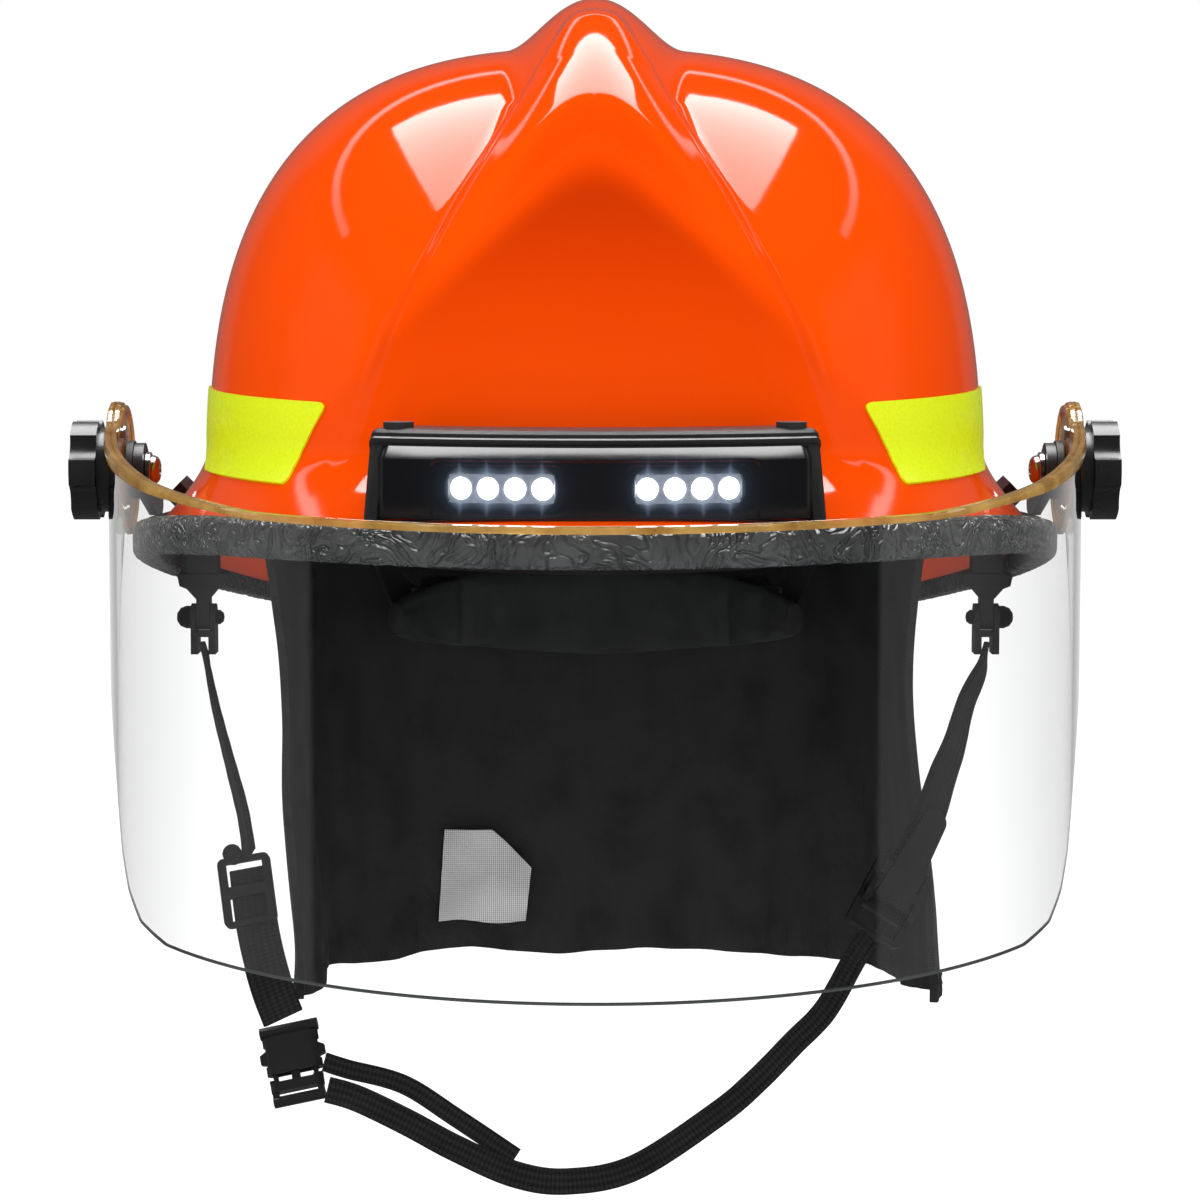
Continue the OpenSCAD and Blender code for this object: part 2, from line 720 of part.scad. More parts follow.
module light_housing() {
    inner_r = cell_ring - cell_r - 0.4;
    roof = lamp_top - lamp_wall;
    color([0.1, 0.1, 0.1]) difference() {
        loft([for (i = [-8 : 8])
            let (inset = abs(i) == 8 ? 2.2 : abs(i) == 7 ? 0.7 : 0, k = abs(i) == 8 ? 1 : abs(i) == 7 ? 0.97 : abs(i) * 0.135)
            lamp_section((i < 0 ? -1 : 1) * k * lamp_half_a, inset)]);
        lamp_sector(lens_r - lens_t - 0.2, lamp_face_r + 3, lamp_floor, roof, bezel_half_a + 0.2);
        lamp_sector(board_r - board_t - 0.2, lens_r, lamp_floor + 0.8, roof - 0.1, board_half_a + 0.4);
        lamp_sector(inner_r, lens_r, roof - 2 * cell_r - 0.5, roof, cells_half_a);
        for (s = [-1, 1]) button_place(s) {
            translate([0, 0, lamp_top - 15]) cylinder(r = button_r + run, h = 20, $fn = 48);
            translate([0, 0, lamp_top - 10]) cylinder(r = button_r + 1.2, h = 10 - lamp_wall - 0.1, $fn = 48);
        }
        both() lamp_screw_at() translate([0, 0, -2]) cylinder(r = 1.5 + run, h = 9, $fn = 32);
    }
}

module button_place(s) {
    p = lamp_xy(button_ring, s * button_a);
    translate([p[0], p[1], 0]) children();
}

// Screws come up through the brim into the light bar's body
module lamp_screw_at() {
    p = lamp_xy(lamp_face_r - 5.5, lamp_half_a - lamp_deg(12.4));
    translate([p[0], p[1], brim_z(p[0], p[1])]) children();
}

module light_screws() {
    color("silver") both() lamp_screw_at() {
        translate([0, 0, -5]) cylinder(r = 1.5, h = 11.5, $fn = 32);
        translate([0, 0, -7.2]) cylinder(r = 3.4, h = 2.4, $fn = 32);
    }
}

module light_bezel() {
    color([0.05, 0.05, 0.05]) difference() {
        lamp_sector(bezel_r - bezel_t, bezel_r, lamp_floor + 0.2, lamp_top - lamp_wall - 0.2, bezel_half_a);
        for (s = [-1, 1]) lamp_sector(bezel_r - bezel_t - 1, bezel_r + 1, 10.6, 18.6,
            s > 0 ? window_to : -window_from, s > 0 ? window_from : -window_to);
        lamp_sector(bezel_r - 0.6, bezel_r + 1, 9.9, 21.5, window_to + 1.6);
    }
}

module light_lenses() {
    color([0.85, 0.9, 1, 0.4])
        for (s = [-1, 1]) lamp_sector(lens_r - lens_t, lens_r, 9.8, 19.4,
            s > 0 ? window_to + 0.4 : -window_from + 0.4, s > 0 ? window_from - 0.4 : -window_to - 0.4);
}

module light_emitters() {
    pitch = (window_to - window_from) / emitters;
    color("white") for (s = [-1, 1], k = [0 : emitters - 1])
        light_place() rotate([0, 0, s * (window_from + (k + 0.5) * pitch)])
            translate([0, -board_r - 0.05, emitter_z]) rotate([90, 0, 0]) {
                cylinder(r = emitter_r, h = 1.2, $fn = 32);
                translate([0, 0, 1.2]) cylinder(r1 = emitter_r - 0.3, r2 = emitter_r - 1.6, h = 0.8, $fn = 32);
            }
}

module light_board() {
    color("darkgreen") lamp_sector(board_r - board_t, board_r, lamp_floor + 1, lamp_top - lamp_wall - 0.3, board_half_a);
}

module battery_cells() {
    color("lightgray") for (s = [-1, 1]) light_place() rotate([0, 0, s * cell_a])
        translate([-cell_len / 2, -cell_ring, lamp_top - lamp_wall - cell_r - 0.2]) rotate([0, 90, 0]) {
            cylinder(r = cell_r, h = cell_len - 1, $fn = 40);
            translate([0, 0, cell_len - 1.1]) cylinder(r = 1.8, h = 1.1, $fn = 24);
        }
}

module light_button(s) {
    color("black") button_place(s) {
        translate([0, 0, lamp_top - lamp_wall - 1.2]) cylinder(r = button_r, h = lamp_wall + 1.2 + button_top, $fn = 48);
        translate([0, 0, lamp_top - lamp_wall - 1.2 - 0.2]) cylinder(r = button_r + 1, h = 1.2, $fn = 48);
    }
}

module button_switches() {
    top = lamp_top - lamp_wall - 1.4 - button_travel - 0.2;
    color("gray") for (s = [-1, 1]) button_place(s)
        translate([0, 0, lamp_top - 9.9]) cylinder(r = button_r + 1, h = top - lamp_top + 9.9, $fn = 6);
}

// Foam dome inside the shell
module impact_liner() {
    n = 48;
    rows = 8;
    function foot(phi) = acos(pow(liner_floor / dome_h, dome_power(phi) / 2));
    function liner_point(phi, f, off) =
        let (q = dome_at(phi, max(0.5, f * foot(phi))))
        [(q[0] + off * q[2]) * cos(phi), (q[0] + off * q[2]) * sin(phi), q[1] + off * q[3]];
    gap = shell_t + liner_gap;
    color("black") loft(concat(
        [for (i = [0 : rows]) [for (k = [0 : n - 1]) liner_point(360 * k / n, i / rows, -gap)]],
        [for (i = [rows : -1 : 0]) [for (k = [0 : n - 1]) liner_point(360 * k / n, i / rows, -gap - liner_t)]]));
}

// Strap from one clip over the crown to the clip across
module crown_strap(a, rise) {
    n = 24;
    r = 99;
    h = dome_h - shell_t - liner_gap - liner_t - 26 + rise;
    strap_z = liner_floor - 0.6;
    color("black") loft([for (i = [0 : n])
        let (
            b = 180 * i / n,
            c = cos(b),
            x = r * sign(c) * pow(abs(c), 2 / 2.4),
            z = strap_z + h * pow(sin(b), 2 / 2.4),
            nx = pow(abs(x) / r, 1.4) * sign(c) / r,
            nz = pow((z - strap_z) / h, 1.4) / h,
            u = unit([nx, nz])
        )
        [for (e = [[1, 1], [-1, 1], [-1, -1], [1, -1]])
            let (d = x + u[0] * e[1] * strap_t / 2, w = e[0] * strap_w / 2)
            [d * cos(a) - w * sin(a), d * sin(a) + w * cos(a), z + u[1] * e[1] * strap_t / 2]]]);
}

// Clips between the headband and the liner's foot, under the ends of the crown straps
module suspension_clips() {
    outer = 115;
    color([0.15, 0.15, 0.16]) for (c = [[40, 93.2], [140, 93.2], [-40, 86.3], [-140, 86.3]])
        rotate([0, 0, c[0]]) translate([c[1], -11, liner_floor - 6]) {
            cube([outer - c[1], 22, 5.1]);
            translate([0, 4, -9]) cube([3, 14, 9.5]);
        }
}

// Plan of the headband: half an ellipse in front, half a circle behind
function band_point(a, off) =
    let (r = band_r + off, f = band_front + band_centre_y + off)
    sin(a) > 0 ? [r * cos(a), band_centre_y + r * sin(a)] : [r * cos(a), band_centre_y + f * sin(a)];

module headband() {
    a0 = -205;
    a1 = 25;
    n = 72;
    color([0.13, 0.13, 0.14]) difference() {
        translate([0, 0, -band_h / 2]) linear_extrude(band_h) polygon(concat(
            [for (k = [0 : n]) band_point(lerp(a0, a1, k / n), 0)],
            [for (k = [n : -1 : 0]) band_point(lerp(a0, a1, k / n), band_t)]));
        headband_rivet_line(1.5 + run);
    }
}

module headband_rivet_line(r) {
    both() translate([0, band_centre_y, 4]) rotate([0, 0, 14]) rotate([0, 90, 0])
        translate([0, 0, band_r - 1]) cylinder(r = r, h = 6, $fn = 32);
}

module headband_rivets() {
    color("silver") {
        headband_rivet_line(1.5);
        both() translate([0, band_centre_y, 4]) rotate([0, 0, 14]) rotate([0, 90, 0])
            translate([0, 0, arm_inner + 1.7]) cylinder(r = 3, h = 1.4, $fn = 32);
    }
}

// Pad along an arc of the headband, with a rounded section that thins out at its ends
module arc_pad(a0, a1, n, inner, mid_z, half_h, t) {
    loft([for (i = [0 : n])
        let (
            f = i / n,
            a = lerp(a0, a1, f),
            full = max(0.3, pow(sin(180 * clamp01(0.04 + 0.92 * f)), 0.35)),
            z = lookup(f, mid_z)
        )
        [for (e = [[1, -0.5], [1, 0.5], [0.75, 0.9], [0.3, 1], [0, 0.75], [-0.12, 0.3], [-0.12, -0.3],
            [0, -0.75], [0.3, -1], [0.75, -0.9]])
            let (p = band_point(a, inner + t * (e[0] - 1))) [p[0], p[1], z + e[1] * full * half_h]]]);
}

module brow_pad() {
    color("black") arc_pad(-160, -20, 30, -seat, [[0, 2], [1, 2]], band_h / 2 - 2, 5);
}

module nape_pad() {
    color([0.2, 0.2, 0.21]) arc_pad(26, 154, 30, case_inner - band_r - seat,
        [[0, nape_z], [0.25, nape_z], [0.5, nape_z - 2], [0.75, nape_z], [1, nape_z]], 14, 5);
}

// Spring arm from the headband down to the guide that a rack slides through
module nape_arm(sign) {
    guide = [46, 54];
    color([0.13, 0.13, 0.14]) side_of(sign) difference() {
        union() {
            loft([for (i = [0 : 16])
                let (a = lerp(8, guide[0] + 2, i / 16), z = lerp(2, nape_z, smooth((a - 16) / 29)), h = lerp(6, rack_half_h, i / 16))
                [ring_point(arm_inner + 1.5, a, z + h), ring_point(arm_inner, a, z + h),
                    ring_point(arm_inner, a, z - h), ring_point(arm_inner + 1.5, a, z - h)]]);
            difference() {
                sector(case_inner + 1, arm_inner + 1.5, nape_z - rack_half_h - 2.2, nape_z + rack_half_h + 2.2,
                    guide[0], guide[1], band_centre_y);
                sector(rack_inner - 0.4, rack_outer + rack_t + 0.4, nape_z - rack_half_h - rack_gap,
                    nape_z + rack_half_h + rack_gap, guide[0] - 1, guide[1] + 1, band_centre_y);
            }
        }
        headband_rivet_line(1.5 + run);
    }
}

// Rack with a slot whose upper or lower edge carries the teeth
module rack(sign, inner) {
    lift = -sign;
    mean = inner + rack_t / 2;
    pitch_a = 360 / pinion_teeth * pinion_r / mean;
    root = pinion_r + 1.1 * module_mm;
    tip = pinion_r - 0.8 * module_mm;
    clear = pinion_r + 1.3 * module_mm;
    color([0.75, 0.75, 0.72]) side_of(sign) difference() {
        sector(inner, inner + rack_t, nape_z - rack_half_h, nape_z + rack_half_h, 40, 106, band_centre_y);
        difference() {
            sector(inner - 1, inner + rack_t + 1, nape_z - (lift > 0 ? clear : root),
                nape_z + (lift > 0 ? root : clear), 90 - rack_slot_end, 90 + rack_slot_end, band_centre_y);
            for (k = [-6 : 6])
                translate([0, band_centre_y, nape_z]) rotate([0, 0, 90 + pitch_a * k])
                    rotate([90, 0, 90]) translate([0, 0, inner - 2]) linear_extrude(rack_t + 4)
                        polygon([[-1.15, lift * (root + 0.4)], [-0.45, lift * tip], [0.45, lift * tip],
                            [1.15, lift * (root + 0.4)]]);
        }
    }
}

// Channel behind the nape that both racks run through
module nape_housing() {
    a0 = 90 - case_half_a;
    a1 = 90 + case_half_a;
    color([0.14, 0.14, 0.15]) difference() {
        sector(case_inner, cover_inner - 0.1, nape_z - case_half_h, nape_z + case_half_h, a0, a1, band_centre_y);
        sector(rack_inner - rack_gap, cover_inner + 1, nape_z - rack_half_h - rack_gap,
            nape_z + rack_half_h + rack_gap, a0 - 1, a1 + 1, band_centre_y);
        translate([0, band_centre_y + rack_inner - 0.2, nape_z]) rotate([90, 0, 0])
            cylinder(r = 1.5 + run, h = 1.9, $fn = 32);
    }
}

module nape_cover() {
    color([0.14, 0.14, 0.15]) difference() {
        sector(cover_inner, cover_outer, nape_z - case_half_h, nape_z + case_half_h,
            90 - case_half_a, 90 + case_half_a, band_centre_y);
        translate([0, ratchet_y + 5, nape_z]) rotate([90, 0, 0]) cylinder(r = 4 + run, h = 12, $fn = 48);
    }
}

// Pinion on a pilot pin, with the shaft that leads out to the knob
module ratchet_pinion() {
    y0 = band_centre_y + rack_inner - 0.3;
    len = rack_outer + rack_t - rack_inner + 0.5;
    root = pinion_r - 1.15 * module_mm;
    tip = pinion_r + 0.8 * module_mm;
    color("gainsboro") translate([0, y0, nape_z]) rotate([-90, 0, 0]) {
        linear_extrude(len) union() {
            circle(r = root, $fn = 48);
            for (k = [0 : pinion_teeth - 1]) rotate(360 / pinion_teeth * (k + 0.5) + 90)
                polygon([[root - 0.5, -1], [root, -1], [pinion_r, -0.62], [tip, -0.3], [tip, 0.3],
                    [pinion_r, 0.62], [root, 1], [root - 0.5, 1]]);
        }
        translate([0, 0, -1.5]) cylinder(r = 1.5, h = 2, $fn = 32);
        translate([0, 0, len - 0.1]) cylinder(r = root, h = cover_outer - rack_inner + 6 - len, $fn = 48);
    }
}

module ratchet_knob() {
    y0 = ratchet_y + 0.5;
    depth = 11;
    color([0.12, 0.12, 0.12]) translate([0, y0, nape_z]) rotate([-90, 0, 0]) difference() {
        linear_extrude(depth) difference() {
            circle(r = ratchet_r, $fn = 96);
            for (k = [0 : 15]) rotate(22.5 * k) translate([ratchet_r + 1.2, 0]) circle(r = 2, $fn = 24);
        }
        translate([0, 0, -1]) cylinder(r = pinion_r - 1.15 * module_mm + run, h = 7, $fn = 48);
        translate([0, 0, depth - 1.2]) cylinder(r = ratchet_r - 5, h = 3, $fn = 64);
    }
}

// Curtain: plan radius narrows from the shell's wall to the hem, with shallow folds
function curtain_low(phi, off) =
    pow(pow(abs(cos(phi)) / (curtain_half_w + off), 3.4) + pow(abs(sin(phi)) / (curtain_rear + off), 3.4), -1 / 3.4);
function curtain_point(f, w, off) =
    let (
        phi = lerp(9, 171, f),
        top = dome_r(phi) - shell_t - 4.4,
        r = lerp(curtain_low(phi, 0), top, pow(1 - w, 5)) + off + fold_depth * w * sin(360 * 6.5 * f) * (0.4 + 0.6 * w),
        z0 = 11,
        z = lerp(z0, -curtain_drop - 3 * sin(180 * f), w)
    )
    [r * cos(phi), r * sin(phi), z];

module neck_curtain() {
    across = 66;
    down = 7;
    color([0.1, 0.1, 0.1]) loft([for (i = [0 : across]) concat(
        [for (k = [0 : down]) curtain_point(i / across, k / down, 0)],
        [for (k = [down : -1 : 0]) curtain_point(i / across, k / down, -curtain_t)])]);
}

module curtain_header() {
    n = 40;
    color([0.08, 0.08, 0.08]) loft([for (i = [0 : n])
        let (phi = lerp(9, 171, i / n), r = dome_r(phi) - shell_t - 4.4 + 0.35)
        [[r * cos(phi), r * sin(phi), 1], [(r + 3.2) * cos(phi), (r + 3.2) * sin(phi), 1],
            [(r + 3.2) * cos(phi), (r + 3.2) * sin(phi), 12], [r * cos(phi), r * sin(phi), 12]]]);
}

module care_tag() {
    y = curtain_rear - curtain_t - fold_depth - 1.2;
    color("white") translate([0, y, 0]) rotate([90, 0, 0]) linear_extrude(0.6)
        polygon([[-52, -121], [-36, -121], [-30, -126], [-22, -134], [-24, -153], [-54, -153]]);
}

// Frame along a hand-laid strap route: points of x, y, z and the way that the webbing's face looks
function route_at(p, i, t) =
    let (
        n = len(p) - 1,
        a = p[max(0, i - 1)],
        b = p[i],
        c = p[i + 1],
        d = p[min(n, i + 2)]
    )
    0.5 * (2 * b + t * (c - a) + t * t * (2 * a - 5 * b + 4 * c - d) + t * t * t * (3 * b - a - 3 * c + d));
function route_points(p, k) =
    concat([for (i = [0 : len(p) - 2], j = [0 : k - 1]) route_at(p, i, j / k)], [p[len(p) - 1]]);

module webbing(route, w, t) {
    q = route_points(route, 4);
    n = len(q) - 1;
    loft([for (i = [0 : n])
        let (
            a = q[max(0, i - 1)],
            b = q[min(n, i + 1)],
            way = unit([b[0] - a[0], b[1] - a[1], b[2] - a[2]]),
            look = [cos(q[i][3]), sin(q[i][3]), 0],
            face = unit(look - (look * way) * way),
            side = cross(way, face),
            c = [q[i][0], q[i][1], q[i][2]]
        )
        [for (e = [[1, 1], [-1, 1], [-1, -1], [1, -1]]) c + e[0] * w / 2 * side + e[1] * t / 2 * face]]);
}

// Routes of the chinstrap, laid by hand: x, y, z and the heading of the webbing's face
left_route = [[-125, 26.6, -48.6], [-123, 22.5, -57], [-120, 17, -68], [-115, 10, -84], [-110.5, 3, -98], [-108, -3, -110]];
left_tail = [[-107.5, -5.6, -114], [-104.5, -12.8, -132], [-100, -20, -147], [-95.6, -24.9, -157.2]];
chin_upper = [[-82.2, -34.4, -168.7], [-75, -36.5, -170.5], [-58, -39.5, -174.5], [-42, -42.5, -184], [-24, -45.5, -195.5]];
chin_main = [[-81.2, -37.4, -176.6], [-72, -39, -179], [-57, -42, -185.5], [-42, -44.5, -193], [-24, -46.5, -200.5],
    [-8, -47, -202.5], [12, -46, -198.5], [37, -44, -182.5], [49, -42.5, -172.5], [60, -39, -162], [70, -35, -152.5],
    [79, -30, -138], [83.9, -26.5, -131.9]];
right_route = [[97.1, -12.4, -111.2], [104, -1, -100], [109.4, 7, -87], [113.5, 12, -78], [118, 18.5, -65], [123.4, 23.6, -55],
    [124.8, 26.6, -48.6]];
function heading(route, a0, a1) =
    [for (i = [0 : len(route) - 1]) concat(route[i], lerp(a0, a1, i / (len(route) - 1)))];

module strap_forks() {
    color([0.12, 0.12, 0.13]) both() difference() {
        union() {
            for (x = [fork_x, 2 * hanger_x - fork_x - fork_t]) {
                rod_x(x, x + fork_t, eye_r + 0.4, brim_screw_y, hanger_z);
                translate([x, brim_screw_y - 4.2, hanger_z - 9]) cube([fork_t, 8.4, 9]);
            }
            translate([2 * hanger_x - fork_x - fork_t, brim_screw_y - 4.2, hanger_z - 11.5])
                cube([2 * (fork_x + fork_t - hanger_x), 8.4, 7]);
        }
        rod_x(hanger_x - 12, hanger_x + 12, hanger_pin_r + run, brim_screw_y, hanger_z);
        translate([hanger_x - webbing_t / 2 - 0.8, brim_screw_y - 9, hanger_z - 12])
            cube([webbing_t + 1.6, 18, 6]);
    }
}

module strap_left() {
    color([0.09, 0.09, 0.09]) {
        webbing(heading(left_route, 180, 200), webbing_w * 0.8, webbing_t);
        webbing(heading(left_tail, 264, 264), webbing_w * 0.9, webbing_t);
    }
}

module strap_right() {
    color([0.09, 0.09, 0.09]) webbing(heading(right_route, -80, 0), webbing_w * 0.8, webbing_t);
}

module chin_webbing() {
    color([0.09, 0.09, 0.09]) {
        webbing(heading(chin_upper, -90, -90), webbing_w * 0.4, webbing_t);
        webbing(heading(chin_main, -90, -62), webbing_w * 0.55, webbing_t);
    }
}

// Frame with crossbars that webbing is threaded through
module ladder(w, l, t, bars) {
    difference() {
        hull() for (x = [-1, 1], z = [-1, 1])
            translate([x * (w / 2 - 2), t / 2, z * (l / 2 - 2)]) rotate([90, 0, 0]) cylinder(r = 2, h = t, $fn = 24);
        for (k = [0 : bars]) translate([0, 0, lerp(-l / 2, l / 2, (k + 0.5) / (bars + 1))])
            cube([w - 5, t + 2, l / (bars + 1) - 3.4], center = true);
    }
}

module slide_place() {
    translate([-107.6, -9.2, -121]) rotate([-24, -10, 0]) children();
}

module strap_slide() {
    color([0.11, 0.11, 0.11]) slide_place() {
        translate([0, -2.6, 0]) ladder(16.5, 22, 2.6, 1);
        translate([-3, -1.6, 12]) rotate([90, 0, 0]) cylinder(r = 3, h = 3.2, $fn = 32);
    }
}

module buckle_place() {
    translate([-91.6, -31.2, -171]) rotate([-26, -12, 0]) children();
}

// Side-release buckle: the socket above, the plug below and two prongs that bend inwards
module buckle_socket() {
    color([0.1, 0.1, 0.1]) buckle_place() difference() {
        union() {
            hull() for (x = [-1, 1]) translate([x * 5.9, 0, -1.5])
                cylinder(r = 2.8, h = 11.5, $fn = 32);
            translate([0, 0, 12]) rotate([0, 90, 0]) translate([0, 0, -9]) cylinder(r = 1.9, h = 18, $fn = 32);
            translate([-6.5, -1.5, 9]) cube([13, 3, 3]);
        }
        translate([-7.2, -1.9, -3]) cube([14.4, 3.8, 10.5]);
        translate([-12, -1.9, 1.2]) cube([24, 3.8, 6.3]);
    }
}

module buckle_plug() {
    color([0.1, 0.1, 0.1]) buckle_place() {
        translate([-1.2, -1.4, -4]) cube([2.4, 2.8, 10.6]);
        hull() for (x = [-1, 1]) translate([x * 5.9, 0, -7]) cylinder(r = 2.4, h = 3, $fn = 32);
        for (x = [-1, 1]) translate([x * 6.8 - 1.4, -1.4, -4.2]) cube([2.8, 2.8, 1]);
        translate([0, 0, -9.8]) rotate([0, 90, 0]) translate([0, 0, -8]) cylinder(r = 1.7, h = 16, $fn = 32);
        for (x = [-1, 1]) translate([x * 7 - 0.9, -1.4, -9.8]) cube([1.8, 2.8, 4]);
    }
}

module buckle_prong(sign) {
    color([0.1, 0.1, 0.1]) buckle_place() side_of(sign) {
        translate([5.6, -1.4, -2.9]) cube([1.3, 2.8, 9.3]);
        hull() {
            translate([6.4, -1.4, 1.7]) cube([0.8, 2.8, 4.9]);
            translate([9.6, -1.2, 2.5]) cube([0.4, 2.4, 2.6]);
        }
    }
}

module adjuster_place() {
    translate([90.5, -19.6, -121.5]) rotate([-29.3, 32.8, 0]) children();
}

module chin_adjuster() {
    color([0.11, 0.11, 0.11]) adjuster_place() {
        ladder(19, 26, 2.8, 2);
        for (x = [-1, 1]) translate([x * 7.6 - 1.1, -6.4, -5.2]) difference() {
            cube([2.2, 5.2, 6.4]);
            translate([-1, 2.2, 3.2]) rotate([0, 90, 0]) cylinder(r = 1.25, h = 5, $fn = 24);
        }
    }
}

// Pull lever on its own pin, lying along the strap
module adjuster_lever() {
    color([0.1, 0.1, 0.1]) adjuster_place() translate([0, -4.2, -2]) {
        translate([-8.9, 0, 0]) rotate([0, 90, 0]) cylinder(r = 1.2, h = 17.8, $fn = 24);
        hull() {
            translate([-5.6, -1.2, -1.2]) cube([11.2, 2.4, 2.4]);
            translate([0, 1.2, lever_len - 4]) rotate([90, 0, 0]) cylinder(r = 4, h = 2.4, $fn = 32);
        }
    }
}

shell();
edge_trim();
reflectors();
light_housing();
light_bezel();
light_lenses();
light_emitters();
light_board();
battery_cells();
button_switches();
light_screws();
light_button(-1);  // light_button_left
light_button(1);  // light_button_right
visor_bracket(-1);  // visor_bracket_left
visor_bracket(1);  // visor_bracket_right
pivot_bolt(-1);  // pivot_bolt_left
pivot_bolt(1);  // pivot_bolt_right
pivot_washers();
visor_shield();
visor_frame();
visor_rivets();
visor_knob(-1);  // visor_knob_left
visor_knob(1);  // visor_knob_right
knob_insert(-1);  // knob_insert_left
knob_insert(1);  // knob_insert_right
brim_screws();
brim_nuts();
chin_hanger(-1);  // chin_hanger_left
chin_hanger(1);  // chin_hanger_right
hanger_pins();
impact_liner();
crown_strap(40, 0);  // crown_strap_lower
crown_strap(140, strap_t + 2 * seat);  // crown_strap_upper
suspension_clips();
headband();
headband_rivets();
brow_pad();
nape_arm(-1);  // nape_arm_left
nape_arm(1);  // nape_arm_right
nape_housing();
nape_cover();
nape_pad();
ratchet_knob();
ratchet_pinion();
rack(-1, rack_inner);  // rack_left
rack(1, rack_outer);  // rack_right
curtain_header();
neck_curtain();
care_tag();
strap_forks();
strap_left();
strap_slide();
buckle_socket();
buckle_plug();
buckle_prong(-1);  // buckle_prong_left
buckle_prong(1);  // buckle_prong_right
chin_webbing();
chin_adjuster();
adjuster_lever();
strap_right();
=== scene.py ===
import json
import math
import bpy
import bmesh
import numpy as np
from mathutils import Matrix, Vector, noise


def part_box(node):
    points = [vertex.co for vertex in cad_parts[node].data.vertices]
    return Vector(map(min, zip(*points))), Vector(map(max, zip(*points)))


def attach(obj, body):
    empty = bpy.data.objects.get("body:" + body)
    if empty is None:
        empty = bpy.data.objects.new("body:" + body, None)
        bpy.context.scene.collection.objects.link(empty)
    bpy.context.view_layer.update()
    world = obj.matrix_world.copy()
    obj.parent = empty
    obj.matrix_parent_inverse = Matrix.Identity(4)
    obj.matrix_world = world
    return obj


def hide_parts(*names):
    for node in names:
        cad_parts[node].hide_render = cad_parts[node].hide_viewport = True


# The looks of a fire helmet, over its CAD model. Lengths are in millimetres, as in the CAD, and piece() turns them
# into metres; materials, lights and the camera are in metres. X points to the wearer's left, the front is -Y and Z is
# up. A plan angle, phi, is 0 at +X and -90 at the front.
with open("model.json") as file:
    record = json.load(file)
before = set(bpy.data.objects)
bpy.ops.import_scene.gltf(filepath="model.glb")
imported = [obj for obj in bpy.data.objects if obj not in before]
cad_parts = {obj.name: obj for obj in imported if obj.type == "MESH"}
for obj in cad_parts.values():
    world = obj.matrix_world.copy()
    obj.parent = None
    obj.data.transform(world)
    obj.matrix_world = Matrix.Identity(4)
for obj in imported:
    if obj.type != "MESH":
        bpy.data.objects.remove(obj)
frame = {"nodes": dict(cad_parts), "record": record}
noise.seed_set(7)  # without a seed, noise_vector takes its offsets from the clock
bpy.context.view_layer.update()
scene = bpy.context.scene
MM = 0.001


def place(name, data):
    o = bpy.data.objects.new(name, data)
    scene.collection.objects.link(o)
    return o


# ---- camera
picture_px, focal_px, shift_px = 1200, 3564, 5
camera_data = bpy.data.cameras.new("camera")
camera_data.sensor_width = 36
camera_data.lens = focal_px / picture_px * 36
camera_data.shift_x = shift_px / picture_px
camera_data.clip_start, camera_data.clip_end = 0.05, 30
camera = place("camera", camera_data)
camera.location = (0, -1.1, 0.077)
camera.rotation_euler = (math.radians(90 - 5.6), 0, 0)
scene.camera = camera
scene.view_settings.view_transform = "Standard"


# ---- mesh helpers
def lerp(a, b, t):
    return a + (b - a) * t


def smooth(t):
    c = np.clip(t, 0, 1)
    return c * c * (3 - 2 * c)


def sin_d(a):
    return np.sin(np.radians(a))


def cos_d(a):
    return np.cos(np.radians(a))


def xyz(x, y, z):
    return np.stack(np.broadcast_arrays(x, y, z), -1)


def piece(name, shape, mat, replaces=(), body="helmet", angle=40, lay=None):
    """A mesh object from points and faces, in the material mat, riding on a body in place of CAD nodes."""
    verts, faces = shape
    mesh = bpy.data.meshes.new(name)
    mesh.from_pydata((np.asarray(verts) * MM).tolist(), [], [tuple(int(i) for i in f) for f in faces])
    mesh.update()
    if lay is not None:
        attribute = mesh.attributes.new("lay", "FLOAT_VECTOR", "POINT")
        attribute.data.foreach_set("vector", np.ravel(lay).astype(np.float32))
    bm = bmesh.new()
    bm.from_mesh(mesh)
    bmesh.ops.recalc_face_normals(bm, faces=bm.faces)
    bm.to_mesh(mesh)
    bm.free()
    mesh.shade_smooth()
    mesh.set_sharp_from_angle(angle=math.radians(angle))
    mesh.materials.append(M[mat])
    o = place(name, mesh)
    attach(o, body)
    if replaces:
        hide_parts(*replaces)
    return o


def loft(rings, loop=False):
    """Skin through closed rings with the same number of points, with end caps unless it closes on itself."""
    n, m = len(rings[0]), len(rings)
    faces = []
    for i in range(m if loop else m - 1):
        a, b = i * n, (i + 1) % m * n
        faces += [(a + j, a + (j + 1) % n, b + (j + 1) % n, b + j) for j in range(n)]
    if not loop:
        faces += [tuple(range(n)), tuple(range((m - 1) * n, m * n))]
    return np.concatenate(rings), faces


def join(parts):
    verts, faces, base = [], [], 0
    for v, f in parts:
        verts.append(v)
        faces += [tuple(i + base for i in q) for q in f]
        base += len(v)
    return np.concatenate(verts), faces


def grid_sheet(front, back):
    """Closed slab between two grids of points (rows, columns, 3)."""
    r, c = front.shape[:2]
    n = r * c
    at = np.arange(n).reshape(r, c)
    faces = []
    for a in at[:-1, :-1].ravel():
        faces += [(a, a + 1, a + c + 1, a + c), (n + a, n + a + c, n + a + c + 1, n + a + 1)]
    rim = [*at[0], *at[1:, -1], *at[-1, -2::-1], *at[-2:0:-1, 0]]
    faces += [(a, b, n + b, n + a) for a, b in zip(rim, rim[1:] + rim[:1])]
    return np.concatenate([front.reshape(-1, 3), back.reshape(-1, 3)]), faces


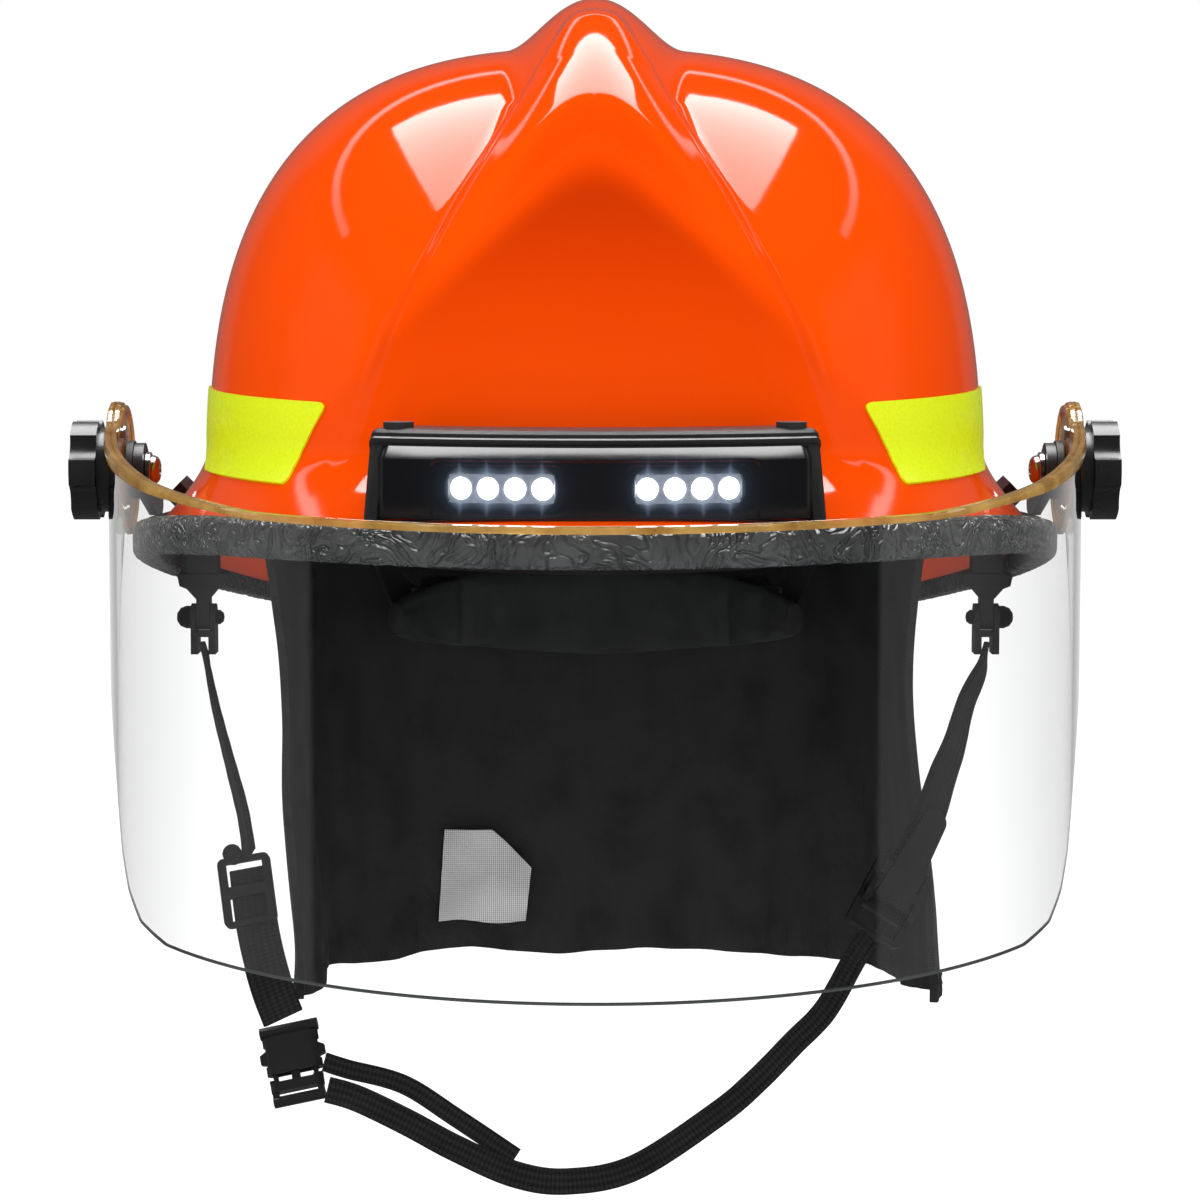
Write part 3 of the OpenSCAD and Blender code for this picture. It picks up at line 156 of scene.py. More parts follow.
def sheet_lay(across, along):
    """Lay of a grid_sheet: the same millimetres across and along for its front and its back."""
    lay = xyz(across * MM, along * MM, 0).reshape(-1, 3)
    return np.concatenate([lay, lay])


def mirrored(verts, faces):
    return verts * np.array([-1, 1, 1]), [f[::-1] for f in faces]


def band_section(n, selvage):
    """Section of a band, n points over its face and n back: place across, side, and how full the edge is there."""
    across = np.concatenate([np.linspace(-1, 1, n), np.linspace(1, -1, n)])
    side = np.repeat([1.0, -1.0], n)
    full = np.sqrt(np.maximum(0.0, 1 - np.clip((np.abs(across) - 1 + selvage) / selvage, 0, 1) ** 2))
    return across, side, full


# ---- material helpers
def feed(tree, n, **inputs):
    """Sets or links a node's inputs, each named by its socket, or by its number as i0, i1 and so on."""
    for k, v in inputs.items():
        socket = n.inputs[int(k[1:])] if k[0] == "i" and k[1:].isdigit() else n.inputs[k.replace("_", " ")]
        if isinstance(v, bpy.types.NodeSocket):
            tree.links.new(v, socket)
        else:
            socket.default_value = v
    return n


def add(tree, kind, props=None, **inputs):
    n = tree.nodes.new("ShaderNode" + kind)
    for k, v in (props or {}).items():
        setattr(n, k, v)
    return feed(tree, n, **inputs)


def calc(tree, operation, *values):
    inputs = {"i%d" % i: v for i, v in enumerate(values)}
    return add(tree, "Math", {"operation": operation}, **inputs).outputs[0]


def plus(tree, a, b):
    return calc(tree, "ADD", a, b)


def times(tree, a, b):
    return calc(tree, "MULTIPLY", a, b)


def times_plus(tree, a, b, c):
    return calc(tree, "MULTIPLY_ADD", a, b, c)


def ramp(tree, value, stops):
    """Colour ramp; a stop's colour may be one number, for a grey."""
    n = add(tree, "ValToRGB", Fac=value)
    e = n.color_ramp.elements
    while len(e) < len(stops):
        e.new(0.5)
    for k, (at, color) in enumerate(stops):
        e[k].position = at
        e[k].color = (*(color if isinstance(color, tuple) else (color,) * 3), 1)
    return n.outputs["Color"]


def coords(tree):
    return add(tree, "TexCoord").outputs["Object"]


def lay_coords(tree):
    """X, Y and Z of the piece's own lay, in metres."""
    source = add(tree, "Attribute", {"attribute_name": "lay"}).outputs["Vector"]
    return add(tree, "SeparateXYZ", Vector=source).outputs


def noise_tex(tree, scale, detail, rough=0.5, distortion=0.0):
    return add(tree, "TexNoise", Vector=coords(tree), Scale=scale, Detail=detail,
               Roughness=rough, Distortion=distortion).outputs["Fac"]


def material(name, color, rough, metallic=0.0, ior=1.5, specular=0.5, sheen=0.0):
    m = bpy.data.materials.new(name)
    m.use_nodes = True
    m.diffuse_color = (*color, 1)
    t, b = m.node_tree, m.node_tree.nodes["Principled BSDF"]
    feed(t, b, Base_Color=(*color, 1), Roughness=rough, Metallic=metallic, IOR=ior, Specular_IOR_Level=specular,
         Sheen_Weight=sheen)
    return m, t, b


def vary(tree, b, color_a, color_b, scale, detail=4.0):
    """Base colour that drifts between two tones."""
    feed(tree, b, Base_Color=ramp(tree, noise_tex(tree, scale, detail), [(0.3, color_a), (0.7, color_b)]))


def rough_range(tree, b, low, high, *noise_values):
    """Roughness that drifts between two values."""
    n = add(tree, "MapRange", Value=noise_tex(tree, *noise_values), To_Min=low, To_Max=high)
    feed(tree, b, Roughness=n.outputs["Result"])


def bump(tree, b, height, distance, strength=1.0):
    n = add(tree, "Bump", Height=height, Distance=distance, Strength=strength)
    feed(tree, b, Normal=n.outputs["Normal"])


def shade_of(tone, factor):
    return tuple(min(1, c * factor) for c in tone)


def plastic(name, tone, rough, grain=900, depth=0.00004, spread=0.12):
    """Moulded plastic: fine grain in the surface, drifting gloss, slightly uneven tone."""
    m, t, b = material(name, tone, rough)
    vary(t, b, shade_of(tone, 0.86), shade_of(tone, 1.16), 45)
    rough_range(t, b, max(0.03, rough - spread), rough + spread, 130, 5)
    bump(t, b, noise_tex(t, grain, 2), depth)
    return m


def metal(name, tone, rough):
    m, t, b = material(name, tone, rough, metallic=1.0)
    vary(t, b, shade_of(tone, 0.88), tone, 220)
    rough_range(t, b, max(0.02, rough - 0.06), rough + 0.1, 500, 3)
    bump(t, b, noise_tex(t, 1400, 2), 0.00001)
    return m


def woven(name, tone, pitch_across, pitch_along, depth=0.00018, diagonal=0.0, sheen=0.25, fray=0.5, contrast=0.6):
    """Cloth whose threads follow the piece's own lay, with their pitch in metres."""
    m, t, b = material(name, tone, 0.75, sheen=sheen, specular=0.3)
    feed(t, b, Sheen_Roughness=0.4, Sheen_Tint=(*[min(1, c * 6 + 0.05) for c in tone], 1))
    lay = lay_coords(t)
    across = times(t, lay["X"], 2 * math.pi / pitch_across)
    along = times(t, lay["Y"], 2 * math.pi / pitch_along)
    if diagonal:
        along = plus(t, along, times(t, lay["X"], 2 * math.pi * diagonal / pitch_along))
    threads = plus(t, calc(t, "SINE", across), calc(t, "SINE", along))
    threads = times_plus(t, threads, 0.25, 0.5)
    fuzz = noise_tex(t, 2600, 3)
    height = times_plus(t, fuzz, 0.35, threads)
    # tone that drifts at random, and painted shade: darker between the threads, lighter on their tops
    tone_and_painted_shade = times_plus(t, noise_tex(t, 60, 4), fray, times_plus(t, threads, contrast, 0.3 - 0.5 * contrast))
    feed(t, b, Base_Color=ramp(t, tone_and_painted_shade, [(0.25, shade_of(tone, 0.45)), (0.55, tone), (0.9, shade_of(tone, 1.9))]))
    bump(t, b, height, depth)
    return m


# ---- materials
def shell_paint(name):
    """Glossy orange, with painted shade in the hollow under the arch: darker where the lay's X says so."""
    m, t, b = material(name, (0.93, 0.082, 0.0006), 0.07, ior=1.3)
    drift = ramp(t, noise_tex(t, 9, 2), [(0.3, (0.98, 0.078, 0.0004)), (0.7, (0.95, 0.072, 0.0003))])
    # painted shade: the orange darkens towards this tone in the hollow under the arch
    mix = add(t, "MixRGB", Fac=lay_coords(t)["X"], Color1=drift, Color2=(0.54, 0.032, 0.0002, 1))
    feed(t, b, Base_Color=mix.outputs["Color"])
    rough_range(t, b, 0.03, 0.1, 420, 6, 0.7)
    bump(t, b, noise_tex(t, 260, 2), 0.00003, 0.35)
    return m


def edge_rubber(name):
    m, t, b = material(name, (0.04, 0.042, 0.043), 0.3, specular=0.6)
    swirl = noise_tex(t, 62, 2, 0.5, 1.8)
    folds = calc(t, "ABSOLUTE", calc(t, "SINE", times(t, swirl, 30)))
    vary(t, b, (0.05, 0.052, 0.053), (0.088, 0.091, 0.093), 60)
    rough_range(t, b, 0.16, 0.34, 200, 4)
    bump(t, b, times_plus(t, noise_tex(t, 900, 3), 0.1, folds), 0.0009)
    return m


def reflective_lime(name):
    """Retroreflective sheet with fine cells, and a faint painted glow for the light it throws back."""
    m, t, b = material(name, (0.72, 0.88, 0.0), 0.28, specular=0.35)
    cells = add(t, "TexVoronoi", {"feature": "DISTANCE_TO_EDGE"}, Vector=coords(t), Scale=620.0).outputs["Distance"]
    c = ramp(t, cells, [(0.0, (0.66, 0.79, 0.0)), (0.12, (0.72, 0.86, 0.0)), (1.0, (0.74, 0.88, 0.002))])
    # painted light: a faint lime glow for the sheet's retroreflection
    feed(t, b, Base_Color=c, Emission_Color=(0.7, 0.85, 0.0, 1), Emission_Strength=0.12)
    rough_range(t, b, 0.2, 0.36, 120, 3)
    bump(t, b, cells, 0.00003, 0.3)
    return m


def clear_sheet(name, tint):
    """Clear plastic: glass to the eye, and it lets the lamps' light through."""
    m, t, b = material(name, tint, 0.0, ior=1.32)
    feed(t, b, Transmission_Weight=1.0)
    vary(t, b, shade_of(tint, 0.995), tint, 30, 5)
    ray = add(t, "LightPath").outputs
    clear = add(t, "BsdfTransparent", Color=(*tint, 1))
    lets = calc(t, "MAXIMUM", ray["Is Shadow Ray"], ray["Is Diffuse Ray"])
    mix = add(t, "MixShader", Fac=lets, i1=b.outputs["BSDF"], i2=clear.outputs["BSDF"])
    feed(t, t.nodes["Material Output"], Surface=mix.outputs["Shader"])
    return m


def amber_frame(name):
    m, t, b = material(name, (0.80, 0.47, 0.12), 0.1, specular=0.8)
    vary(t, b, (0.5, 0.26, 0.05), (0.92, 0.62, 0.2), 110)
    feed(t, b, Transmission_Weight=0.6)
    rough_range(t, b, 0.04, 0.16, 300, 4)
    bump(t, b, noise_tex(t, 160, 3), 0.0004, 0.5)
    return m


def lamp_white(name):
    m, t, b = material(name, (0.9, 0.93, 1.0), 0.2)
    feed(t, b, Emission_Color=(0.93, 0.97, 1.0, 1), Emission_Strength=6.0)
    rough_range(t, b, 0.1, 0.25, 300, 2)
    return m


def lamp_tray(name):
    m, t, b = material(name, (0.2, 0.22, 0.25), 0.3)
    # painted light: a faint bluish glow on the tray, for the emitters' light upon it
    feed(t, b, Emission_Color=(0.6, 0.75, 1.0, 1), Emission_Strength=0.1)
    vary(t, b, (0.16, 0.18, 0.21), (0.26, 0.29, 0.33), 500)
    return m


M = {}
for kind, *rows in (
        (shell_paint, ("shell_gloss",)), (edge_rubber, ("edge_rubber",)), (reflective_lime, ("reflective_lime",)),
        (amber_frame, ("frame_amber",)), (lamp_white, ("lamp_white",)), (lamp_tray, ("lamp_tray",)),
        (clear_sheet, ("shield_clear", (0.985, 0.99, 0.99)), ("lamp_clear", (0.97, 0.98, 1.0))),
        # tone, roughness, grain, depth, spread
        (plastic, ("black_satin", (0.016, 0.016, 0.017), 0.38),
         ("black_gloss", (0.008, 0.008, 0.009), 0.16, 900, 0.00001, 0.05), ("circuit_green", (0.02, 0.16, 0.06), 0.35),
         ("switch_gray", (0.2, 0.2, 0.21), 0.4), ("button_rubber", (0.02, 0.02, 0.021), 0.55),
         ("washer_black", (0.02, 0.02, 0.02), 0.5), ("shield_edge", (0.06, 0.065, 0.065), 0.3),
         ("knob_black", (0.012, 0.012, 0.013), 0.3),
         ("liner_foam", (0.03, 0.03, 0.031), 0.8, 500, 0.0004), ("rack_nylon", (0.05, 0.05, 0.052), 0.45),
         ("buckle_black", (0.014, 0.014, 0.015), 0.33)),
        # tone, roughness
        (metal, ("cell_silver", (0.5, 0.51, 0.53), 0.35), ("steel", (0.6, 0.6, 0.6), 0.28),
         ("chrome_bolt", (0.5, 0.5, 0.51), 0.16), ("brass_insert", (0.75, 0.55, 0.22), 0.25),
         ("screw_black", (0.08, 0.08, 0.085), 0.35)),
        # tone, pitch across, pitch along, depth, diagonal, sheen, fray, contrast
        (woven, ("tag_white", (0.62, 0.62, 0.63), 0.0007, 0.0007, 0.00004, 0.0, 0.1, 0.25),
         ("webbing_black", (0.012, 0.012, 0.0125), 0.0022, 0.0013, 0.00022),
         ("curtain_cloth", (0.0125, 0.0125, 0.013), 0.0009, 0.0009, 0.00008, 0.5, 0.3, 1.1, 0.3),
         ("header_tape", (0.012, 0.012, 0.012), 0.0012, 0.0012),
         ("pad_fabric", (0.02, 0.02, 0.021), 0.0014, 0.0014, 0.00012),
         ("nape_fabric", (0.02, 0.021, 0.022), 0.0009, 0.0009, 0.00003, 0.8, 0.25, 0.5, 0.2))):
    for name, *values in rows:
        M[name] = kind(name, *values)

# every CAD node takes the material of its slot
slots = {s["node"]: s["material_slot"] for s in frame["record"]["subparts"]}
for name, node in frame["nodes"].items():
    node.data.materials.clear()
    node.data.materials.append(M[slots[name]])
    node.data.shade_smooth()
    node.data.set_sharp_from_angle(angle=math.radians(32))


# ---- the shell's form, as in the CAD
dome_half_w, dome_front, dome_rear, dome_h, shell_t = 118, 140, 145, 138, 3
plan_power, side_power, front_power = 2.15, 2.75, 2.2
brim_half_w, brim_front, brim_rear, brim_mid_y, brim_drop = 143.8, 185, 190, 20, 56
slope_side, slope_front, slope_rear, trim_depth, trim_h, brim_turn = 46, 20, 38, 9, 11.4, 10
crest_half_w, crest_h, crest_end_y, crest_fade = 27, 15, 125, 60
# the steep front panel touches the dome at this height, and the crest's front starts to change at this y
panel_z, front_y = 80, -50
# the crest ends in an arch: its top, and how round it is there
arch_top, arch_round = 104.5, 13.6
# half width of the raised front at heights on the bare dome
front_edge_z = [0, 28, 55, 93, 118.5, 125, 128, 134]
front_edge_x = [82, 69, 59, 38, 21.5, 14.5, 11.5, 8]


def outline_r(phi):
    """Radius of the brim's outline, over its trim: two half ellipses about a point behind the origin."""
    s, c = sin_d(phi), cos_d(phi)
    b = np.where(s > math.sin(math.atan2(brim_mid_y, brim_half_w)), brim_rear - brim_mid_y, brim_front + brim_mid_y)
    k = (c / brim_half_w) ** 2 + (s / b) ** 2
    m = brim_mid_y * s / (b * b)
    return (m + np.sqrt(m * m - k * ((brim_mid_y / b) ** 2 - 1))) / k


def trim_z(y):
    return -brim_drop * ((y + brim_front) / (brim_front + brim_rear)) ** 2


def brim_slope(phi):
    s = sin_d(phi)
    return slope_side + (slope_front - slope_side) * np.maximum(0, -s) ** 3 \
        + (slope_rear - slope_side) * np.maximum(0, s) ** 2


def dome_r(phi):
    s, c = sin_d(phi), cos_d(phi)
    b = np.where(s < 0, dome_front, dome_rear)
    return ((np.abs(c) / dome_half_w) ** plan_power + (np.abs(s) / b) ** plan_power) ** (-1 / plan_power)


def dome_power(phi):
    return side_power + (front_power - side_power) * np.maximum(0, -sin_d(phi)) ** 3


def dome_at(phi, p):
    """Radius, height and normal of the dome, p degrees down from the crown; past 90 it is an upright wall."""
    w, n = dome_r(phi), dome_power(phi)
    q = np.minimum(p, 90)
    r = np.where(p < 90, w * sin_d(q) ** (2 / n), w)
    z = np.where(p < 90, dome_h * np.maximum(cos_d(q), 0) ** (2 / n), 90 - p)
    gr = np.where(z > 0, (r / w) ** (n - 1) / w, 1)
    gz = np.where(z > 0, (np.maximum(z, 0) / dome_h) ** (n - 1) / dome_h, 0)
    g = np.hypot(gr, gz)
    return r, z, gr / g, gz / g


def section(phi, u):
    """Radius, height, outward normal and brim share of the outer face: u is 0 at the crown, 1 at the brim's turn and
    2 at its edge."""
    ro = outline_r(phi)
    re = ro - trim_depth / 2
    s = brim_slope(phi)
    ze = trim_z(ro * sin_d(phi)) + shell_t / 2 * cos_d(s)
    R, n = dome_r(phi), dome_power(phi)
    zc = ze + (re - R) * np.tan(np.radians(s)) + brim_turn
    pc = np.where(zc > 0, np.degrees(np.arccos(np.clip(np.maximum(zc, 1e-6) / dome_h, 0, 1) ** (n / 2))), 90 - zc)
    rd, zd, nrd, nzd = dome_at(phi, np.maximum(0.2, np.minimum(u, 1) * pc))
    # the brim is a cubic curve from the dome, Dr and Dz, past the corner, Ir and Iz, to the edge, re and ze
    Dr, Dz, Nr, Nz = dome_at(phi, pc)
    wr, wz = -cos_d(s), sin_d(s)
    a = ((re - Dr) * wz - (ze - Dz) * wr) / (Nz * wz + Nr * wr)
    Ir, Iz = Dr + a * Nz, Dz - a * Nr
    t = np.clip(u - 1, 0, 1)
    out = []
    for d, i, e in ((Dr, Ir, re), (Dz, Iz, ze)):
        c = (d, d + 0.8 * (i - d), e + 0.85 * (i - e), e)
        out.append(((1 - t) ** 3 * c[0] + 3 * (1 - t) ** 2 * t * c[1] + 3 * (1 - t) * t * t * c[2] + t ** 3 * c[3],
                    3 * (1 - t) ** 2 * (c[1] - c[0]) + 6 * (1 - t) * t * (c[2] - c[1]) + 3 * t * t * (c[3] - c[2])))
    (br, tr), (bz, tz) = out
    L = np.hypot(tr, tz) + 1e-12
    on = u <= 1
    return np.where(on, rd, br), np.where(on, zd, bz), np.where(on, nrd, -tz / L), np.where(on, nzd, tr / L), t


def arch_depth(x, z):
    """How far a point lies below the arch that the crest ends in."""
    return arch_top - (np.sqrt(x * x + arch_round ** 2) - arch_round) - z


def relief(phi, r, z, nr, nz, inside):
    """Crest, arch, straight front panel and stepped front, over the bare dome."""
    x, y = r * cos_d(phi), r * sin_d(phi)
    w = crest_half_w + 0.55 * np.maximum(0, 118 - z)
    crest = crest_h * np.maximum(0, 1 - (x / w) ** 2) ** 2 * smooth((crest_end_y - y) / crest_fade)
    front = smooth((front_y - y) / 25)
    # below the arch the panel takes the crest's place; it is tangent to the dome's front line at panel_z
    qr, qz, mr, mz = dome_at(-90, np.degrees(np.arccos((panel_z / dome_h) ** (front_power / 2))))
    rise = ((qz - z) * mz + (qr * dome_r(phi) / dome_front - r) * mr) / np.maximum(0.05, nr * mr + nz * mz)
    rise = np.where(z < panel_z, 0, np.maximum(rise, 0))
    depth = arch_depth(x, z)
    below = smooth(depth / (3 + 0.3 * np.abs(x)) + 0.5)
    h = lerp(crest, rise, front * below)
    # the front is a step proud of the dome, steepest at the top, and sinks back low down in its middle
    edge = np.interp(z, front_edge_z, front_edge_x) - np.abs(x)
    k = np.clip(edge / 5.5, 0, 1)
    wall = lerp(k, smooth(k), 0.25)
    high = lerp(1, 3.4, np.clip((z - 30) / 32, 0, 1)) * smooth((-42 - y) / 20)
    low = 1 - np.clip((z - 30) / 60, 0, 1)
    step = wall * high - front * 2 * low * smooth((edge - 10) / 8)
    hollow = 2.2 * smooth((depth - 6) / 14) * smooth((z - 58) / 45) * front
    return 0.75 * h if inside else h + step - hollow


def painted_arch_shade(phi, u):
    """0 to 1 in the hollow under the arch, where the paint is darkened as painted shade."""
    r, z = section(phi, u)[:2]
    x, y = r * cos_d(phi), r * sin_d(phi)
    return smooth((arch_depth(x, z) - 2) / 12) * smooth((z - 15) / 85) * smooth((front_y - y) / 25)


def shell_point(phi, u, off=0.0, inside=False):
    r, z, nr, nz, t = section(phi, u)
    c, s = cos_d(phi), sin_d(phi)
    h = off + (1 - t) ** 2 * relief(phi, r, z, nr, nz, inside)
    return xyz(r * c + nr * c * h, r * s + nr * s * h, z + nz * h)


def brim_z(x, y):
    """Height of the brim's upper face over a point in plan."""
    phi, r = math.degrees(math.atan2(y, x)), math.hypot(x, y)
    lo, hi = 1.0, 2.0
    for _ in range(30):
        t = (lo + hi) / 2
        if section(phi, t)[0] < r:
            lo = t
        else:
            hi = t
    return float(section(phi, lo)[1])


# ---- shell, edge trim and reflectors
def build_shell():
    n = 600
    i = np.arange(n) / n
    # plan angles bunch together at the front, where the relief is fine
    phi = -90 + 360 * i - 25 * np.sin(2 * np.pi * i)
    us = np.concatenate([np.linspace(0, 1, 181), np.linspace(1, 2, 41)[1:]])
    inner_us = np.concatenate([np.linspace(2, 1, 16), np.linspace(0.95, 0, 30)])
    verts, faces = loft([shell_point(phi, u) for u in us] + [shell_point(phi, u, -shell_t, True) for u in inner_us])
    # the lay's X carries the painted shade under the arch
    tone = np.zeros((len(verts), 3))
    tone[:len(us) * n, 0] = np.concatenate([painted_arch_shade(phi, u) for u in us])
    piece("helmet_shell", (verts, faces), "shell_gloss", ["shell"], angle=50, lay=tone)


def trim_section(phi):
    """Outline of the trim's channel, as radius and height from its middle; the last 4 points are the slot."""
    s = brim_slope(phi)
    d, h, g = trim_depth / 2, trim_h / 2, shell_t / 2 + 0.15
    corner, corner_z, steps = 2.6, 3.0, 8
    mid_r = -shell_t / 2 * sin_d(s)
    low_t = (d + mid_r - g * sin_d(s)) / cos_d(s)
    top_t = np.minimum((d + mid_r + g * sin_d(s)) / cos_d(s), (h - g * cos_d(s)) / sin_d(s))

    def slot(t, side):
        return mid_r + t * cos_d(s) + side * g * sin_d(s), side * g * cos_d(s) - t * sin_d(s)

    def rounded(side):
        """Corner at the top or the bottom of the outer face."""
        turn = [90 - 90 * k / steps if side > 0 else -90 * k / steps for k in range(1, steps)]
        return [(d - corner + corner * cos_d(q), side * (h - corner_z) + 2.65 * sin_d(q)) for q in turn]

    top_start = np.maximum(-d, slot(-top_t, 1)[0]) + 1.4
    quarter = (0, 0.33, 0.66, 1)
    top = [(lerp(top_start, d - corner, k), h - 0.35 * (2 * k - 1) ** 2) for k in quarter]
    outer = [(d, lerp(h - corner_z, corner_z - h, k)) for k in quarter]
    foot = [(lerp(d - corner, 1.2 - d, k), 0.35 - h) for k in quarter] + [(0.3 - d, 0.9 - h), (-d, 2.0 - h)]
    return top + rounded(1) + outer + rounded(-1) + foot \
        + [slot(0.2 - low_t, -1), slot(0.3, -1), slot(0.3, 1), slot(0.6 - top_t, 1)]


def build_trim():
    """Rubber channel over the brim's edge, with creases all over its skin."""
    n = 1500
    phi = 360 * np.arange(n) / n
    r0 = outline_r(phi) - trim_depth / 2
    z0 = trim_z(outline_r(phi) * sin_d(phi))
    outline = trim_section(phi)
    rings = np.stack([xyz((r0 + r) * cos_d(phi), (r0 + r) * sin_d(phi), z0 + z) for r, z in outline], 1)
    skin = len(outline) - 4
    centre = rings[:, :skin].mean(1)
    for i in range(n):
        for j in range(skin):
            p = rings[i, j]
            v = Vector(p * 0.11)
            fold = noise.noise(v * 1.5 + noise.noise_vector(v * 0.8) * 1.3)
            crease = abs(math.sin(fold * 9.0)) - 0.5
            out = p - centre[i]
            out /= np.linalg.norm(out)
            rings[i, j] = p + out * (0.34 * crease - 0.2 + 0.16 * noise.noise(v * 6))
    piece("edge_bead", loft(rings, loop=True), "edge_rubber", ["edge_trim"], angle=60)


def rounded_patch(inner, outer, top, foot, corner):
    """Patch on the shell with rounded corners: inner and outer edge as plan angles from top to foot, and top and foot
    edge as the shell's u at their two ends."""
    over, under = 0.9, 0.15
    A, B = np.meshgrid(0.5 - 0.5 * np.cos(np.pi * np.linspace(0, 1, 150)), np.linspace(0, 1, 48))
    d = np.clip(1 - np.minimum(A, 1 - A) / corner[0], 0, 1)
    inset = corner[1] * (1 - np.sqrt(1 - d * d))
    B = lerp(inset, 1 - inset, B)
    rows = np.linspace(0, 1, len(inner))
    phi = lerp(np.interp(B, rows, inner), np.interp(B, rows, outer), A)
    corners = np.array([inner[0], outer[0], inner[-1], outer[-1]], float)
    ends = shell_point(corners, np.array([*top, *foot]), over)[:, 2]
    height = lerp(lerp(ends[0], ends[1], A * (2 - A)), lerp(ends[2], ends[3], A), B)
    # the u at which the shell has that height, from a table down each plan angle
    steps = np.linspace(0.8, 1.8, 121)
    drop = shell_point(phi[..., None], steps, over)[..., 2] - height[..., None]
    k = np.clip((drop > 0).sum(-1) - 1, 0, len(steps) - 2)[..., None]
    above, below = (np.take_along_axis(drop, k + j, -1)[..., 0] for j in (0, 1))
    u = steps[k[..., 0]] + (steps[1] - steps[0]) * np.clip(above / (above - below), 0, 1)
    return grid_sheet(shell_point(phi, u, over), shell_point(phi, u, under))


def build_reflectors():
    front_inner = [-56.2, -54.95, -53.6, -52.5, -52.12, -52.45]
    front_outer = [-4, -6, -8.5, -12, -17, -23]
    front = rounded_patch(front_inner, front_outer, (0.96, 0.94), (1.62, 1.45), (0.03, 0.1))
    rear = rounded_patch([38, 38.4, 38.8, 39.2, 39.6, 40], [62, 61.6, 61.2, 60.8, 60.4, 60], (0.88, 0.9), (1.08, 1.08),
                         (0.08, 0.08))
    patches = join([front, mirrored(*front), rear, mirrored(*rear)])
    piece("reflector_patches", patches, "reflective_lime", ["reflectors"], angle=50)


build_shell()
build_trim()
build_reflectors()

# ---- light bar
# the bar's face is an arc of radius lamp_r about lamp_y; an angle on it is 0 in front
lamp_r, lamp_y, lamp_top, lamp_depth = 140.0, -28.0, 30.0, 24
lamp_half_a, face_half_a = math.degrees(math.asin(62.6 / lamp_r)), 24.5
window_a, led_pitch_a, led_z = 10.3, 3.05, 14.6
led_a = [window_a + (k - 1.5) * led_pitch_a for k in range(4)]


def lamp_xyz(r, a, z):
    return xyz(r * sin_d(a), lamp_y - r * cos_d(a), z)


def arc_mm(a):
    return a * math.radians(1) * lamp_r


def build_housing():
    """Outer frame of the light bar, open in front for the bezel, with a double lip along its top."""
    jamb_a, end_a, end_round, sunk_r, foot_gap, low_back = face_half_a + 0.05, 1.15, 2.6, -3.6, 0.5, 9.0
    spans = (-lamp_half_a, -jamb_a, 16), (-face_half_a, face_half_a, 110), (jamb_a, lamp_half_a, 16)
    rings = []
    for a in np.concatenate([np.linspace(*span) for span in spans]):
        near_end = 1 - min(1, (lamp_half_a - abs(a)) / end_a)
        inset = end_round * (1 - math.sqrt(max(0, 1 - near_end ** 2)))
        p, b = lamp_xyz(lamp_r, a, 0), lamp_xyz(lamp_r - lamp_depth, a, 0)
        foot, back_foot, t = brim_z(p[0], p[1]) + foot_gap, low_back, lamp_top - inset
        if math.hypot(b[0], b[1]) > dome_r(math.degrees(math.atan2(b[1], b[0]))) + 1:
            back_foot = max(brim_z(b[0], b[1]) + foot_gap, low_back)
        low_r, high_r = (sunk_r, sunk_r) if abs(a) < jamb_a else (-inset, -3.4 - inset)
        profile = (
            (-0.2 - inset, foot + inset), (-inset, foot + 0.5 + inset), (low_r, foot + 0.8 + inset),
            (high_r, t - 4.6), (-3.7 - inset, t - 4.2), (-3.3 - inset, t - 3.9), (-3.0 - inset, t - 3.4),
            (-3.05 - inset, t - 2.6), (-3.5 - inset, t - 2.2), (-3.9 - inset, t - 2.1), (-4.0 - inset, t - 1.2),
            (-4.6 - inset, t - 0.5), (-5.8 - inset, t - 0.08), (-7.2 - inset, t), (-12, t), (-21, t), (-22.8, t - 0.7),
            (inset - lamp_depth, t - 2.2), (inset - lamp_depth, back_foot + inset), (-9, max(foot, 6.0) + inset))
        rings.append([lamp_xyz(lamp_r + r, a, z) for r, z in profile])
    piece("lamp_case", loft(rings), "black_satin", ["light_housing"], angle=28)


def sunk(x, z, half_x, half_z, radius, depth, lead, wall):
    """Depth of a field sunk within a rounded rectangle, with its wall from lead inside the outline."""
    a, b = np.abs(x) - (half_x - radius), np.abs(z) - (half_z - radius)
    outside = np.hypot(np.maximum(a, 0), np.maximum(b, 0)) + np.minimum(np.maximum(a, b), 0) - radius
    return depth * (1 - smooth((outside + lead) / wall))


def build_bezel():
    """Glossy face with a sunk panel and two sunk windows, as one relief."""
    A, Z = np.meshgrid(np.linspace(-face_half_a, face_half_a, 460), np.linspace(6.3, 25.4, 116))
    mm = arc_mm(A)
    # the upper edge is bevelled, with a little roll at each end
    t = np.clip((Z - 22.0) / 3.4, 0, 1)
    end = np.clip((np.abs(mm) - 57.2) / 2.6, 0, 1)
    r = lamp_r + 0.25 - 3.0 * (0.75 * t + 0.25 * t * t) - 1.2 * end * end
    r -= sunk(mm, Z - 12.4, 44.2, 9.7, 2.4, 0.9, 0.5, 0.9) * (1 - t)
    for s in (-1, 1):
        x = mm - s * arc_mm(window_a)
        r -= sunk(x, Z - led_z, 17.2, 6.2, 3.0, 0.35, 0.4, 0.7)
        r -= sunk(x, Z - led_z, 14.6, 4.1, 1.0, 1.3, 0.5, 0.5)
    sheet = grid_sheet(lamp_xyz(r, A, Z), lamp_xyz(lamp_r - 3.4, A, Z))
    piece("lamp_face", sheet, "lamp_face", ["light_bezel"], angle=35, lay=sheet_lay(mm, Z))


